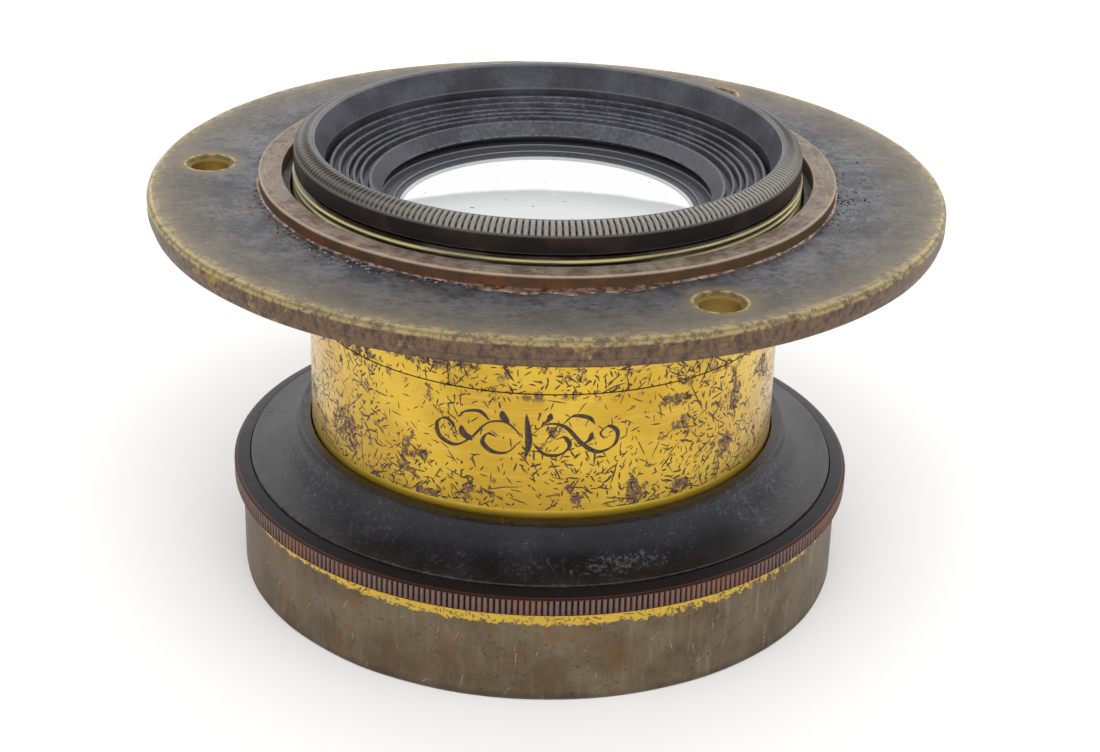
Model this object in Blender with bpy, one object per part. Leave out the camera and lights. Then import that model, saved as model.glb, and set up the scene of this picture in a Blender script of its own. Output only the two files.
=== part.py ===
"""Brass portrait lens, standing on its front hood as it is stored.

The optical axis is +Z and the origin is the centre of the hood's foot, so the rear
cell is on top. Every piece is turned, so most of this file is turned outlines.
The threaded joints are plain running clearances. Dimensions are millimetres, and
turned() scales them to metres.
"""
from math import cos, pi, radians, sin, sqrt

import bmesh
import bpy

MM = 0.001

# Driving dimensions
FLANGE_RADIUS = 50.0
FLANGE_THICKNESS = 3.5
FLANGE_TOP = 52.3            # height of the flange's upper face above the foot
BARREL_RADIUS = 30.2
HOOD_RADIUS = 39.4
RIM_RADIUS = 40.5
RIM_FOOT = 12.45             # height of the milled rim's lower edge
REAR_RING_RADIUS = 31.8
TOP = 58.1                   # overall height
OPTICAL_CENTRE = 36.3        # the two cells mirror each other about this height
GLASS_RADIUS = 22.4
CLEAR_RADIUS = 18.5          # glass left open by its retaining ring
STOP_RADIUS = 7.0
SCREW_HOLE_RADIUS = 2.4
SCREW_HEAD_RADIUS = 3.7
SCREW_CIRCLE_RADIUS = 43.0
SCREW_FIRST_ANGLE = 57.0     # degrees from +X
SCREW_COUNT = 3

# Working allowances
GAP = 0.3                    # between pieces that would touch
WALL = 1.3                   # tube wall
REBATE = 0.3                 # depth of the flange's two shallow rebates

SEGMENTS = 40                # facets round a large ring
GLASS_RINGS = 4              # facets from a glass's edge to its centre

# Heights and radii that follow from the above
FLANGE_FOOT = FLANGE_TOP - FLANGE_THICKNESS
BARREL_BORE = BARREL_RADIUS - WALL
SPIGOT_RADIUS = BARREL_BORE - GAP
THREAD_RADIUS = REAR_RING_RADIUS + 0.2      # the flange's thread on the rear barrel
FLANGE_BORE = THREAD_RADIUS + 0.7
COLLAR_BORE = THREAD_RADIUS + 1.3
COLLAR_RADIUS = COLLAR_BORE + 2.9
COLLAR_TOP = FLANGE_TOP + 1.6
SHOULDER_RADIUS = THREAD_RADIUS + 2.3       # barrel shoulder that the flange seats against
RING_FOOT = TOP - 3.45                      # underside of the rear milled ring
THREAD_TOP = RING_FOOT - GAP
NECK_BORE = THREAD_RADIUS - WALL - 0.3
NECK_FOOT = FLANGE_FOOT + 0.8
JOINT_LINE = OPTICAL_CENTRE + 0.15          # where the two barrel tubes meet
BARREL_FOOT = RIM_FOOT + 2.75
HOOD_TOP = RIM_FOOT - GAP - 0.05
CELL_SEAT = GLASS_RADIUS + GAP
CELL_BORE = GLASS_RADIUS - 1.4               # ledge that each glass group rests on

materials = {}


def finish(name, colour, roughness, metallic):
    """A plain Principled material, made once for each name."""
    if name not in materials:
        material = bpy.data.materials.new(name)
        material.use_nodes = True
        shader = material.node_tree.nodes["Principled BSDF"]
        shader.inputs["Base Color"].default_value = (*colour, 1.0)
        shader.inputs["Roughness"].default_value = roughness
        shader.inputs["Metallic"].default_value = metallic
        materials[name] = material
    return materials[name]


def lacquered_brass():
    return finish("lacquered_brass", (0.60, 0.40, 0.08), 0.35, 0.9)


def aged_brass():
    return finish("aged_brass", (0.17, 0.13, 0.08), 0.45, 0.8)


def flange_brass():
    return finish("flange_brass", (0.16, 0.15, 0.14), 0.42, 0.8)


def black_lacquer():
    return finish("black_lacquer", (0.015, 0.015, 0.018), 0.45, 0.2)


def optical_glass():
    return finish("optical_glass", (0.85, 0.88, 0.87), 0.03, 0.0)


def turned(name, outline, material, segments=SEGMENTS):
    """Turn an outline of (radius, height) points about the axis into one closed body.

    A ring's outline closes on itself. A solid piece's outline starts and ends at radius 0.
    """
    mesh = bpy.data.meshes.new(name)
    bm = bmesh.new()
    verts = [bm.verts.new((radius * MM, 0.0, height * MM)) for radius, height in outline]
    solid = outline[0][0] == 0.0
    pairs = zip(verts, verts[1:] if solid else verts[1:] + verts[:1])
    edges = [bm.edges.new(pair) for pair in pairs]
    bmesh.ops.spin(
        bm, geom=verts + edges, cent=(0, 0, 0), axis=(0, 0, 1), angle=2 * pi, steps=segments
    )
    bmesh.ops.remove_doubles(bm, verts=bm.verts, dist=1e-7)
    bmesh.ops.recalc_face_normals(bm, faces=bm.faces)
    bm.to_mesh(mesh)
    bm.free()
    mesh.shade_smooth()
    mesh.set_sharp_from_angle(angle=radians(30))
    mesh.materials.append(material)
    piece = bpy.data.objects.new(name, mesh)
    bpy.context.collection.objects.link(piece)
    return piece


def tube(outer, inner, low, high):
    """The outline of a plain ring."""
    return [(inner, high), (outer, high), (outer, low), (inner, low)]


def dome(edge_height, curvature, from_centre=True):
    """Points on a spherical glass face, in (radius, height), that rises to the axis."""
    rim = sqrt(curvature ** 2 - GLASS_RADIUS ** 2)
    points = []
    for step in range(GLASS_RINGS + 1):
        radius = GLASS_RADIUS * step / GLASS_RINGS
        points.append((radius, edge_height + sqrt(curvature ** 2 - radius ** 2) - rim))
    return points if from_centre else points[::-1]


def mirrored(outline):
    """The same outline turned end for end about the optical centre."""
    return [(radius, 2 * OPTICAL_CENTRE - height) for radius, height in outline]


# Optical elements: the outlines are those of the rear group

CROWN_EDGE = 47.0            # height of the rear group's outer edge
OUTER_CURVATURE = 110.0
CEMENT_CURVATURE = 150.0
INNER_CURVATURE = 125.0


def crown_outline():
    """Outer element: domed outside, hollowed where the flint is cemented to it."""
    return dome(CROWN_EDGE, OUTER_CURVATURE) + dome(CROWN_EDGE - 1.4, CEMENT_CURVATURE, False)


def flint_outline():
    """Inner element of a meniscus pair."""
    top = dome(CROWN_EDGE - 1.4 - GAP, CEMENT_CURVATURE)
    return top + dome(CROWN_EDGE - 3.3, INNER_CURVATURE, False)


RETAINER_FOOT = CROWN_EDGE + GAP


def retainer_outline():
    """Threaded ring that holds a glass group in its seat: a flat step, then a thin lip."""
    return [
        (CLEAR_RADIUS, RETAINER_FOOT + 1.0),
        (CLEAR_RADIUS + 0.9, RETAINER_FOOT + 1.3),
        (CLEAR_RADIUS + 0.9, RETAINER_FOOT + 1.7),
        (GLASS_RADIUS, RETAINER_FOOT + 2.2),
        (GLASS_RADIUS, RETAINER_FOOT),
        (CLEAR_RADIUS, RETAINER_FOOT + 0.7),
    ]


# Rear cell

LIP_BORE = 29.2
LIP_CREST = 29.8             # radius of the rear cell's highest edge
BAFFLE_RADIUS = 27.7
BAFFLE_FOOT = 50.5
BAFFLE_TOP = 54.6
LAND_TOP_RADIUS = 22.2
LAND_TOP = 52.2
LAND_FOOT_RADIUS = 20.8
CELL_INNER_END = 42.0        # where the rear cell ends inside the barrel
SEAT_HEIGHT = 43.4           # ledge under the rear group's inner edge


def rear_cell_mount():
    """Milled ring with a long spigot that holds the rear group and its baffle."""
    outline = [
        (LIP_BORE, TOP - 0.1),
        (LIP_CREST, TOP),
        (31.0, TOP - 0.35),
        (REAR_RING_RADIUS, TOP - 0.85),
        (REAR_RING_RADIUS, RING_FOOT),
        (NECK_BORE - GAP, RING_FOOT),
        (NECK_BORE - GAP, NECK_FOOT + 0.7),
        (SPIGOT_RADIUS, NECK_FOOT + 0.4),
        (SPIGOT_RADIUS, CELL_INNER_END),
        (CELL_BORE, CELL_INNER_END),
        (CELL_BORE, SEAT_HEIGHT),
        (CELL_SEAT, SEAT_HEIGHT),
        (CELL_SEAT, BAFFLE_FOOT - GAP),
        (BAFFLE_RADIUS + GAP, BAFFLE_FOOT - GAP),
        (BAFFLE_RADIUS + GAP, TOP - 3.1),
    ]
    return turned("rear_cell_mount", outline, black_lacquer())


def rear_baffle_ring():
    """Anti-reflection ring: a shallow cone outside a steeper smooth land."""
    outline = [
        (BAFFLE_RADIUS - 0.4, BAFFLE_TOP - 0.3),
        (BAFFLE_RADIUS, BAFFLE_TOP),
        (BAFFLE_RADIUS, BAFFLE_FOOT),
        (LAND_FOOT_RADIUS, BAFFLE_FOOT),
        (LAND_FOOT_RADIUS, BAFFLE_FOOT + 0.2),
        (LAND_TOP_RADIUS, LAND_TOP),
    ]
    return turned("rear_baffle_ring", outline, black_lacquer())


# Barrel, stop and flange


def rear_barrel():
    """Upper tube: thread for the flange, bore for the rear cell, seat for the stop."""
    outline = [
        (NECK_BORE, THREAD_TOP),
        (THREAD_RADIUS, THREAD_TOP),
        (THREAD_RADIUS, FLANGE_FOOT - GAP),
        (BARREL_RADIUS, FLANGE_FOOT - 2 * GAP),
        (BARREL_RADIUS, JOINT_LINE),
        (SPIGOT_RADIUS, JOINT_LINE),
        (SPIGOT_RADIUS, OPTICAL_CENTRE - 5.1),
        (SPIGOT_RADIUS - WALL, OPTICAL_CENTRE - 5.1),
        (SPIGOT_RADIUS - WALL, OPTICAL_CENTRE + 0.6),
        (SPIGOT_RADIUS - 2.8, OPTICAL_CENTRE + 0.6),
        (SPIGOT_RADIUS - 2.8, OPTICAL_CENTRE + 1.7),
        (BARREL_BORE, OPTICAL_CENTRE + 3.7),
        (BARREL_BORE, NECK_FOOT - 0.2),
        (NECK_BORE, NECK_FOOT + 0.1),
    ]
    return turned("rear_barrel", outline, lacquered_brass())


def flange_seat_ring():
    """Shoulder on the barrel that the flange screws down against."""
    outer = SHOULDER_RADIUS
    high = FLANGE_FOOT - GAP
    outline = [
        (BARREL_RADIUS + GAP, high - 2 * GAP),
        (THREAD_RADIUS + GAP, high - 2 * GAP),
        (THREAD_RADIUS + GAP, high),
        (outer - 0.3, high),
        (outer, high - 0.3),
        (outer, high - 1.9),
        (outer - 0.6, high - 2.5),
        (BARREL_RADIUS + GAP, high - 2.5),
    ]
    return turned("flange_seat_ring", outline, lacquered_brass())


def front_barrel():
    """Lower tube, lacquered, that the front cell screws into."""
    outline = tube(BARREL_RADIUS, BARREL_BORE, BARREL_FOOT, JOINT_LINE - GAP)
    return turned("front_barrel", outline, lacquered_brass())


def aperture_stop():
    """Fixed stop: a thin disc with a round hole."""
    outer = SPIGOT_RADIUS - WALL - GAP
    high = OPTICAL_CENTRE + 0.3
    outline = tube(outer, STOP_RADIUS, high - 0.6, high)
    return turned("aperture_stop", outline, black_lacquer())


def stop_retaining_ring():
    """Ring that clamps the stop against its seat."""
    outer = SPIGOT_RADIUS - WALL - GAP
    outline = tube(outer, outer - 1.6, OPTICAL_CENTRE - 2.2, OPTICAL_CENTRE - 0.6)
    return turned("stop_retaining_ring", outline, black_lacquer())


def screw_cutter(index):
    """A through hole with a countersunk mouth, wire only, for cutting the flange."""
    low = FLANGE_FOOT - 1.0
    high = FLANGE_TOP + 1.0
    mouth = SCREW_HEAD_RADIUS - SCREW_HOLE_RADIUS
    outline = [
        (0.0, high),
        (SCREW_HEAD_RADIUS + 1.0, high),
        (SCREW_HOLE_RADIUS, FLANGE_TOP - mouth),
        (SCREW_HOLE_RADIUS, low),
        (0.0, low),
    ]
    cutter = turned(f"screw_cutter_{index}", outline, flange_brass(), SEGMENTS // 2)
    angle = radians(SCREW_FIRST_ANGLE + index * 360.0 / SCREW_COUNT)
    cutter.location.x = SCREW_CIRCLE_RADIUS * MM * cos(angle)
    cutter.location.y = SCREW_CIRCLE_RADIUS * MM * sin(angle)
    cutter.hide_render = True
    cutter.display_type = "WIRE"
    return cutter


def flange_plate():
    """Mounting disc with a softened edge and its countersunk holes.

    A shallow rebate on each face takes the collar above and the barrel's shoulder below.
    """
    outline = [
        (FLANGE_BORE, FLANGE_TOP - REBATE),
        (COLLAR_RADIUS + GAP, FLANGE_TOP - REBATE),
        (COLLAR_RADIUS + GAP, FLANGE_TOP),
        (FLANGE_RADIUS - 0.7, FLANGE_TOP),
        (FLANGE_RADIUS, FLANGE_TOP - 0.5),
        (FLANGE_RADIUS - 0.05, FLANGE_FOOT + 0.8),
        (FLANGE_RADIUS - 0.8, FLANGE_FOOT),
        (SHOULDER_RADIUS + GAP, FLANGE_FOOT),
        (SHOULDER_RADIUS + GAP, FLANGE_FOOT + REBATE),
        (FLANGE_BORE, FLANGE_FOOT + REBATE),
    ]
    plate = turned("flange_plate", outline, flange_brass())
    for index in range(SCREW_COUNT):
        cut = plate.modifiers.new(f"screw_hole_{index}", "BOOLEAN")
        cut.operation = "DIFFERENCE"
        cut.solver = "EXACT"
        cut.object = screw_cutter(index)
    return plate


def flange_collar():
    """Raised ring soldered on the flange round its thread."""
    outline = [
        (COLLAR_BORE, COLLAR_TOP),
        (COLLAR_RADIUS - 0.3, COLLAR_TOP),
        (COLLAR_RADIUS, COLLAR_TOP - 0.3),
        (COLLAR_RADIUS, FLANGE_TOP - REBATE + GAP),
        (COLLAR_BORE, FLANGE_TOP - REBATE + GAP),
    ]
    return turned("flange_collar", outline, aged_brass())


# Front cell, flare and hood

FLARE_EDGE = RIM_RADIUS - 2.2
FLARE_TOP = RIM_FOOT + 7.45
NECK_STEPS = 4
FRONT_LEDGE = 21.9           # height of the ledge above the front baffle


def front_cell_mount():
    """Front cell: a lip under the flare, and a spigot up into the barrel."""
    outline = [
        (CELL_BORE, 2 * OPTICAL_CENTRE - CELL_INNER_END),
        (SPIGOT_RADIUS, 2 * OPTICAL_CENTRE - CELL_INNER_END),
        (SPIGOT_RADIUS, RIM_FOOT + 1.15),
        (HOOD_RADIUS - 2.8, RIM_FOOT + 1.15),
        (HOOD_RADIUS - 2.8, RIM_FOOT + 0.15),
        (SPIGOT_RADIUS - WALL, RIM_FOOT + 0.15),
        (SPIGOT_RADIUS - WALL, FRONT_LEDGE),
        (CELL_SEAT, FRONT_LEDGE),
        (CELL_SEAT, 2 * OPTICAL_CENTRE - SEAT_HEIGHT),
        (CELL_BORE, 2 * OPTICAL_CENTRE - SEAT_HEIGHT),
    ]
    return turned("front_cell_mount", outline, black_lacquer())


def front_baffle_cone():
    """Flared anti-reflection tube between the front glass and the hood."""
    outer = SPIGOT_RADIUS - WALL - GAP
    outline = [
        (CELL_BORE, FRONT_LEDGE - GAP),
        (outer, FRONT_LEDGE - GAP),
        (outer, RIM_FOOT + 0.7),
        (outer - 1.0, RIM_FOOT + 0.7),
    ]
    return turned("front_baffle_cone", outline, black_lacquer())


def flare_cone():
    """Black neck ring: a hollow curve from the barrel out to the milled rim."""
    bore = BARREL_RADIUS + GAP
    crest = bore + 1.6
    low = FLARE_EDGE - 0.2
    rise = FLARE_TOP - 0.3 - (RIM_FOOT + 2.95)
    curve = []
    for step in range(NECK_STEPS + 1):
        turn = radians(90.0 * step / NECK_STEPS)
        radius = crest + (low - crest) * (1.0 - cos(turn))
        height = RIM_FOOT + 2.95 + rise * (1.0 - sin(turn))
        curve.append((radius, height))
    outline = (
        [(bore, FLARE_TOP)]
        + [(crest - 0.3, FLARE_TOP)]
        + curve
        + [
            (FLARE_EDGE, RIM_FOOT + 2.7),
            (FLARE_EDGE, RIM_FOOT + 1.85),
            (HOOD_RADIUS - 2.6, RIM_FOOT + 1.85),
            (HOOD_RADIUS - 2.6, RIM_FOOT + 1.45),
            (SPIGOT_RADIUS + GAP, RIM_FOOT + 1.45),
            (SPIGOT_RADIUS + GAP, BARREL_FOOT - GAP),
            (bore, BARREL_FOOT - GAP),
        ]
    )
    return turned("flare_cone", outline, black_lacquer())


def milled_rim_ring():
    """Toothed grip ring round the flare's edge and the hood's top."""
    bore = FLARE_EDGE + GAP
    outline = [
        (bore, RIM_FOOT + 2.65),
        (RIM_RADIUS - 0.5, RIM_FOOT + 2.5),
        (RIM_RADIUS, RIM_FOOT + 2.0),
        (RIM_RADIUS, RIM_FOOT),
        (bore, RIM_FOOT),
    ]
    return turned("milled_rim_ring", outline, aged_brass())


def hood_drum():
    """Tube that shades the front glass; the lens stands on it."""
    outline = [
        (HOOD_RADIUS - 2.5, RIM_FOOT + 1.55),
        (FLARE_EDGE, RIM_FOOT + 1.55),
        (FLARE_EDGE, HOOD_TOP),
        (HOOD_RADIUS, HOOD_TOP),
        (HOOD_RADIUS, 0.3),
        (HOOD_RADIUS - 0.3, 0.0),
        (HOOD_RADIUS - WALL, 0.0),
        (HOOD_RADIUS - WALL, RIM_FOOT - 1.2),
        (HOOD_RADIUS - 2.5, RIM_FOOT - 0.6),
    ]
    return turned("hood_drum", outline, aged_brass())


def build():
    for old in list(bpy.data.objects):
        bpy.data.objects.remove(old, do_unlink=True)
    rear_cell_mount()
    rear_baffle_ring()
    turned("rear_retaining_ring", retainer_outline(), black_lacquer())
    turned("rear_crown_glass", crown_outline(), optical_glass())
    turned("rear_flint_glass", flint_outline(), optical_glass())
    rear_barrel()
    flange_seat_ring()
    flange_plate()
    flange_collar()
    front_barrel()
    aperture_stop()
    stop_retaining_ring()
    front_cell_mount()
    front_baffle_cone()
    turned("front_retaining_ring", mirrored(retainer_outline()), black_lacquer())
    turned("front_crown_glass", mirrored(crown_outline()), optical_glass())
    turned("front_flint_glass", mirrored(flint_outline()), optical_glass())
    flare_cone()
    milled_rim_ring()
    hood_drum()


build()
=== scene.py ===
# Brass portrait lens standing on its hood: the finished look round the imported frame.
# Sizes are millimetres unless a line says otherwise; the last step to the mesh is in metres.
from functools import reduce
from math import cos, pi, radians, sin

import bpy
import numpy as np
from mathutils import Matrix, Vector


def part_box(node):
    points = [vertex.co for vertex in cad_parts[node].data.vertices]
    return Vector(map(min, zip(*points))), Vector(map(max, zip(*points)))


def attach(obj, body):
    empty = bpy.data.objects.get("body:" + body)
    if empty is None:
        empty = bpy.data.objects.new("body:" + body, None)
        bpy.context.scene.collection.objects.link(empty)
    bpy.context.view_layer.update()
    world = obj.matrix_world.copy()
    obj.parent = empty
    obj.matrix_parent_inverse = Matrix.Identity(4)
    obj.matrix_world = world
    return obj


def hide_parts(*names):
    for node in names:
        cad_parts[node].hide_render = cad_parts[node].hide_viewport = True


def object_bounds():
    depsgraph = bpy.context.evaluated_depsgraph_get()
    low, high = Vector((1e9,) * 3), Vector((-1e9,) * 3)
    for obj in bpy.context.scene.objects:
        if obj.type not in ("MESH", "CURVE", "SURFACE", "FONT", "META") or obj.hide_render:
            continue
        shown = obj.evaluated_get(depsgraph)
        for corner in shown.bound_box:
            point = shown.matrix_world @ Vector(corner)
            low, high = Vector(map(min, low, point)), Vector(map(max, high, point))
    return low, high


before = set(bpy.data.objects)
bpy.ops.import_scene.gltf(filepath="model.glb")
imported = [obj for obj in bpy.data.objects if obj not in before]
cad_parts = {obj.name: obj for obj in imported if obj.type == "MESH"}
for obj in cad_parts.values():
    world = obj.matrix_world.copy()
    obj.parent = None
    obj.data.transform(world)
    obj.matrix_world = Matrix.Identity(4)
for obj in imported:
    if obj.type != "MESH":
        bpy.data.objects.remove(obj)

cadLow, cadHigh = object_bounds()
mm = 0.001


def span(node):
    # outer radius, foot and top of a CAD node
    low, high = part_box(node)
    return high.x / mm, low.z / mm, high.z / mm


def paint(red, green, blue):
    # a colour as it looks on a screen, 0 to 255, turned into light
    return tuple((np.array((red, green, blue)) / 255.0) ** 2.2) + (1.0,)


def facesOfGrid(rows, columns, loopRows=True):
    # Every quad joins four neighbours of a rows by columns grid. The last column joins the
    # first, and so does the last row, unless loopRows is off.
    row = np.arange(rows if loopRows else rows - 1)[:, None]
    column = np.arange(columns)[None, :]
    nextRow = (row + 1) % rows
    nextColumn = (column + 1) % columns
    quads = np.stack(
        [row * columns + column, row * columns + nextColumn,
         nextRow * columns + nextColumn, nextRow * columns + column], axis=-1)
    return quads.reshape(-1, 4)


def meshOf(name, vertices, faces, marks=None, sharp=40):
    # vertices in millimetres and equal-sided faces, put in as whole arrays
    mesh = bpy.data.meshes.new(name)
    corners = faces.shape[1]
    mesh.vertices.add(len(vertices))
    mesh.vertices.foreach_set("co", (vertices * mm).astype(np.float32).ravel())
    mesh.loops.add(faces.size)
    mesh.loops.foreach_set("vertex_index", faces.astype(np.int32).ravel())
    mesh.polygons.add(len(faces))
    mesh.polygons.foreach_set("loop_start", np.arange(0, faces.size, corners, dtype=np.int32))
    mesh.update(calc_edges=True)
    for label, values in (marks or {}).items():
        layer = mesh.attributes.new(label, "FLOAT", "POINT")
        layer.data.foreach_set("value", values.astype(np.float32).ravel())
    mesh.shade_smooth()
    mesh.set_sharp_from_angle(angle=radians(sharp))
    return mesh


def place(name, mesh, body, nodes, material):
    # hangs a finished mesh on its body, in place of the CAD nodes that it stands for, if any
    piece = bpy.data.objects.new(name, mesh)
    bpy.context.collection.objects.link(piece)
    mesh.materials.append(material)
    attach(piece, body)
    if nodes:
        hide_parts(*nodes)
    return piece


def rounded(corners, steps=4, hold=0.05):
    # Corners are (radius, height, fillet). A fillet is a quadratic curve between two points one
    # fillet along each side, and a held point beyond each keeps the flats flat.
    # Returns the closed profile, with how convex (wear) and how hollow (grime) each point is.
    count = len(corners)
    flat = np.array([corner[:2] for corner in corners], dtype=float)
    area = np.sum(flat[:, 0] * np.roll(flat[:, 1], -1) - np.roll(flat[:, 0], -1) * flat[:, 1])
    if area < 0:
        corners = corners[::-1]
    points, wear, grime = [], [], []
    for index, (radius, height, fillet) in enumerate(corners):
        here = np.array((radius, height))
        back = np.array(corners[index - 1][:2]) - here
        ahead = np.array(corners[(index + 1) % count][:2]) - here
        if fillet == 0:
            points.append(here)
            wear.append(0.0)
            grime.append(0.0)
            continue
        backLength, aheadLength = np.hypot(*back), np.hypot(*ahead)
        first = here + back * min(fillet / backLength, 0.42)
        last = here + ahead * min(fillet / aheadLength, 0.42)
        turn = back[0] * ahead[1] - back[1] * ahead[0]
        points.append(first + back * min(hold / backLength, 0.05))
        wear.append(0.0)
        grime.append(0.0)
        for step in range(steps + 1):
            t = step / steps
            points.append((1 - t) ** 2 * first + 2 * t * (1 - t) * here + t * t * last)
            strength = 1.0 - abs(2 * t - 1) ** 2 * 0.7
            wear.append(strength if turn < 0 else 0.0)
            grime.append(strength if turn > 0 else 0.0)
        points.append(last + ahead * min(hold / aheadLength, 0.05))
        wear.append(0.0)
        grime.append(0.0)
    return np.array(points), np.array(wear), np.array(grime)


def turned(name, corners, segments=256, relief=None, steps=4):
    # A profile carried round the axis: x = r cos a, y = r sin a, z = h.
    # relief(radius, height, angle) moves the surface and gives back radius, height and marks.
    profile, wear, grime = rounded(corners, steps)
    angle = np.linspace(0, 2 * pi, segments, endpoint=False)[None, :]
    radius = np.repeat(profile[:, :1], segments, axis=1)
    height = np.repeat(profile[:, 1:], segments, axis=1)
    marks = {"wear": np.repeat(wear[:, None], segments, axis=1),
             "grime": np.repeat(grime[:, None], segments, axis=1)}
    if relief:
        radius, height, more = relief(radius, height, np.broadcast_to(angle, radius.shape))
        marks.update(more)
    vertices = np.stack([radius * np.cos(angle), radius * np.sin(angle), height], axis=-1)
    faces = facesOfGrid(len(profile), segments)
    return meshOf(name, vertices.reshape(-1, 3), faces, marks)


def turnedPiece(name, corners, body, nodes, material, segments=256, relief=None, steps=4):
    # turns a profile and hangs it on its body
    return place(name, turned(name, corners, segments, relief, steps), body, nodes, material)


def wander(angle, seed, waves, first):
    # A smooth closed wobble round the axis, between about -1 and 1: a sum of cosines that go
    # round first, first + 1, ... times, each with a turn of its own drawn from the seed.
    source = np.random.default_rng(seed)
    total = np.zeros_like(angle, dtype=float)
    for wave in range(first, first + waves):
        total = total + cos(0.6 * wave) * np.cos(wave * angle + source.uniform(0, 2 * pi)) / waves ** 0.5
    return total


def smooth(value, low, high):
    # 0 below low, 1 above high, with an S between
    t = np.clip((value - low) / (high - low), 0, 1)
    return t * t * (3 - 2 * t)


class Tap:
    # one output socket; arithmetic on it adds Math nodes
    def __init__(self, shade, socket):
        self.shade = shade
        self.socket = socket

    def math(self, operation, first, second=0.0):
        return self.shade.add("ShaderNodeMath", {"operation": operation}, {0: first, 1: second})

    def other(self, output):
        # another output of the same node
        return Tap(self.shade, self.socket.node.outputs[output])

    def __add__(self, value):
        return self.math("ADD", self, value)

    __radd__ = __add__

    def __sub__(self, value):
        return self.math("SUBTRACT", self, value)

    def __rsub__(self, value):
        return self.math("SUBTRACT", value, self)

    def __mul__(self, value):
        return self.math("MULTIPLY", self, value)

    __rmul__ = __mul__

    def __truediv__(self, value):
        return self.math("DIVIDE", self, value)

    def __rtruediv__(self, value):
        return self.math("DIVIDE", value, self)

    def __pow__(self, value):
        return self.math("POWER", self, value)

    def __abs__(self):
        return self.math("ABSOLUTE", self)

    def larger(self, value):
        return self.math("MAXIMUM", self, value)

    def smaller(self, value):
        return self.math("MINIMUM", self, value)

    def sine(self):
        return self.math("SINE", self)

    def cosine(self):
        return self.math("COSINE", self)

    def root(self):
        return self.math("SQRT", self)


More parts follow.
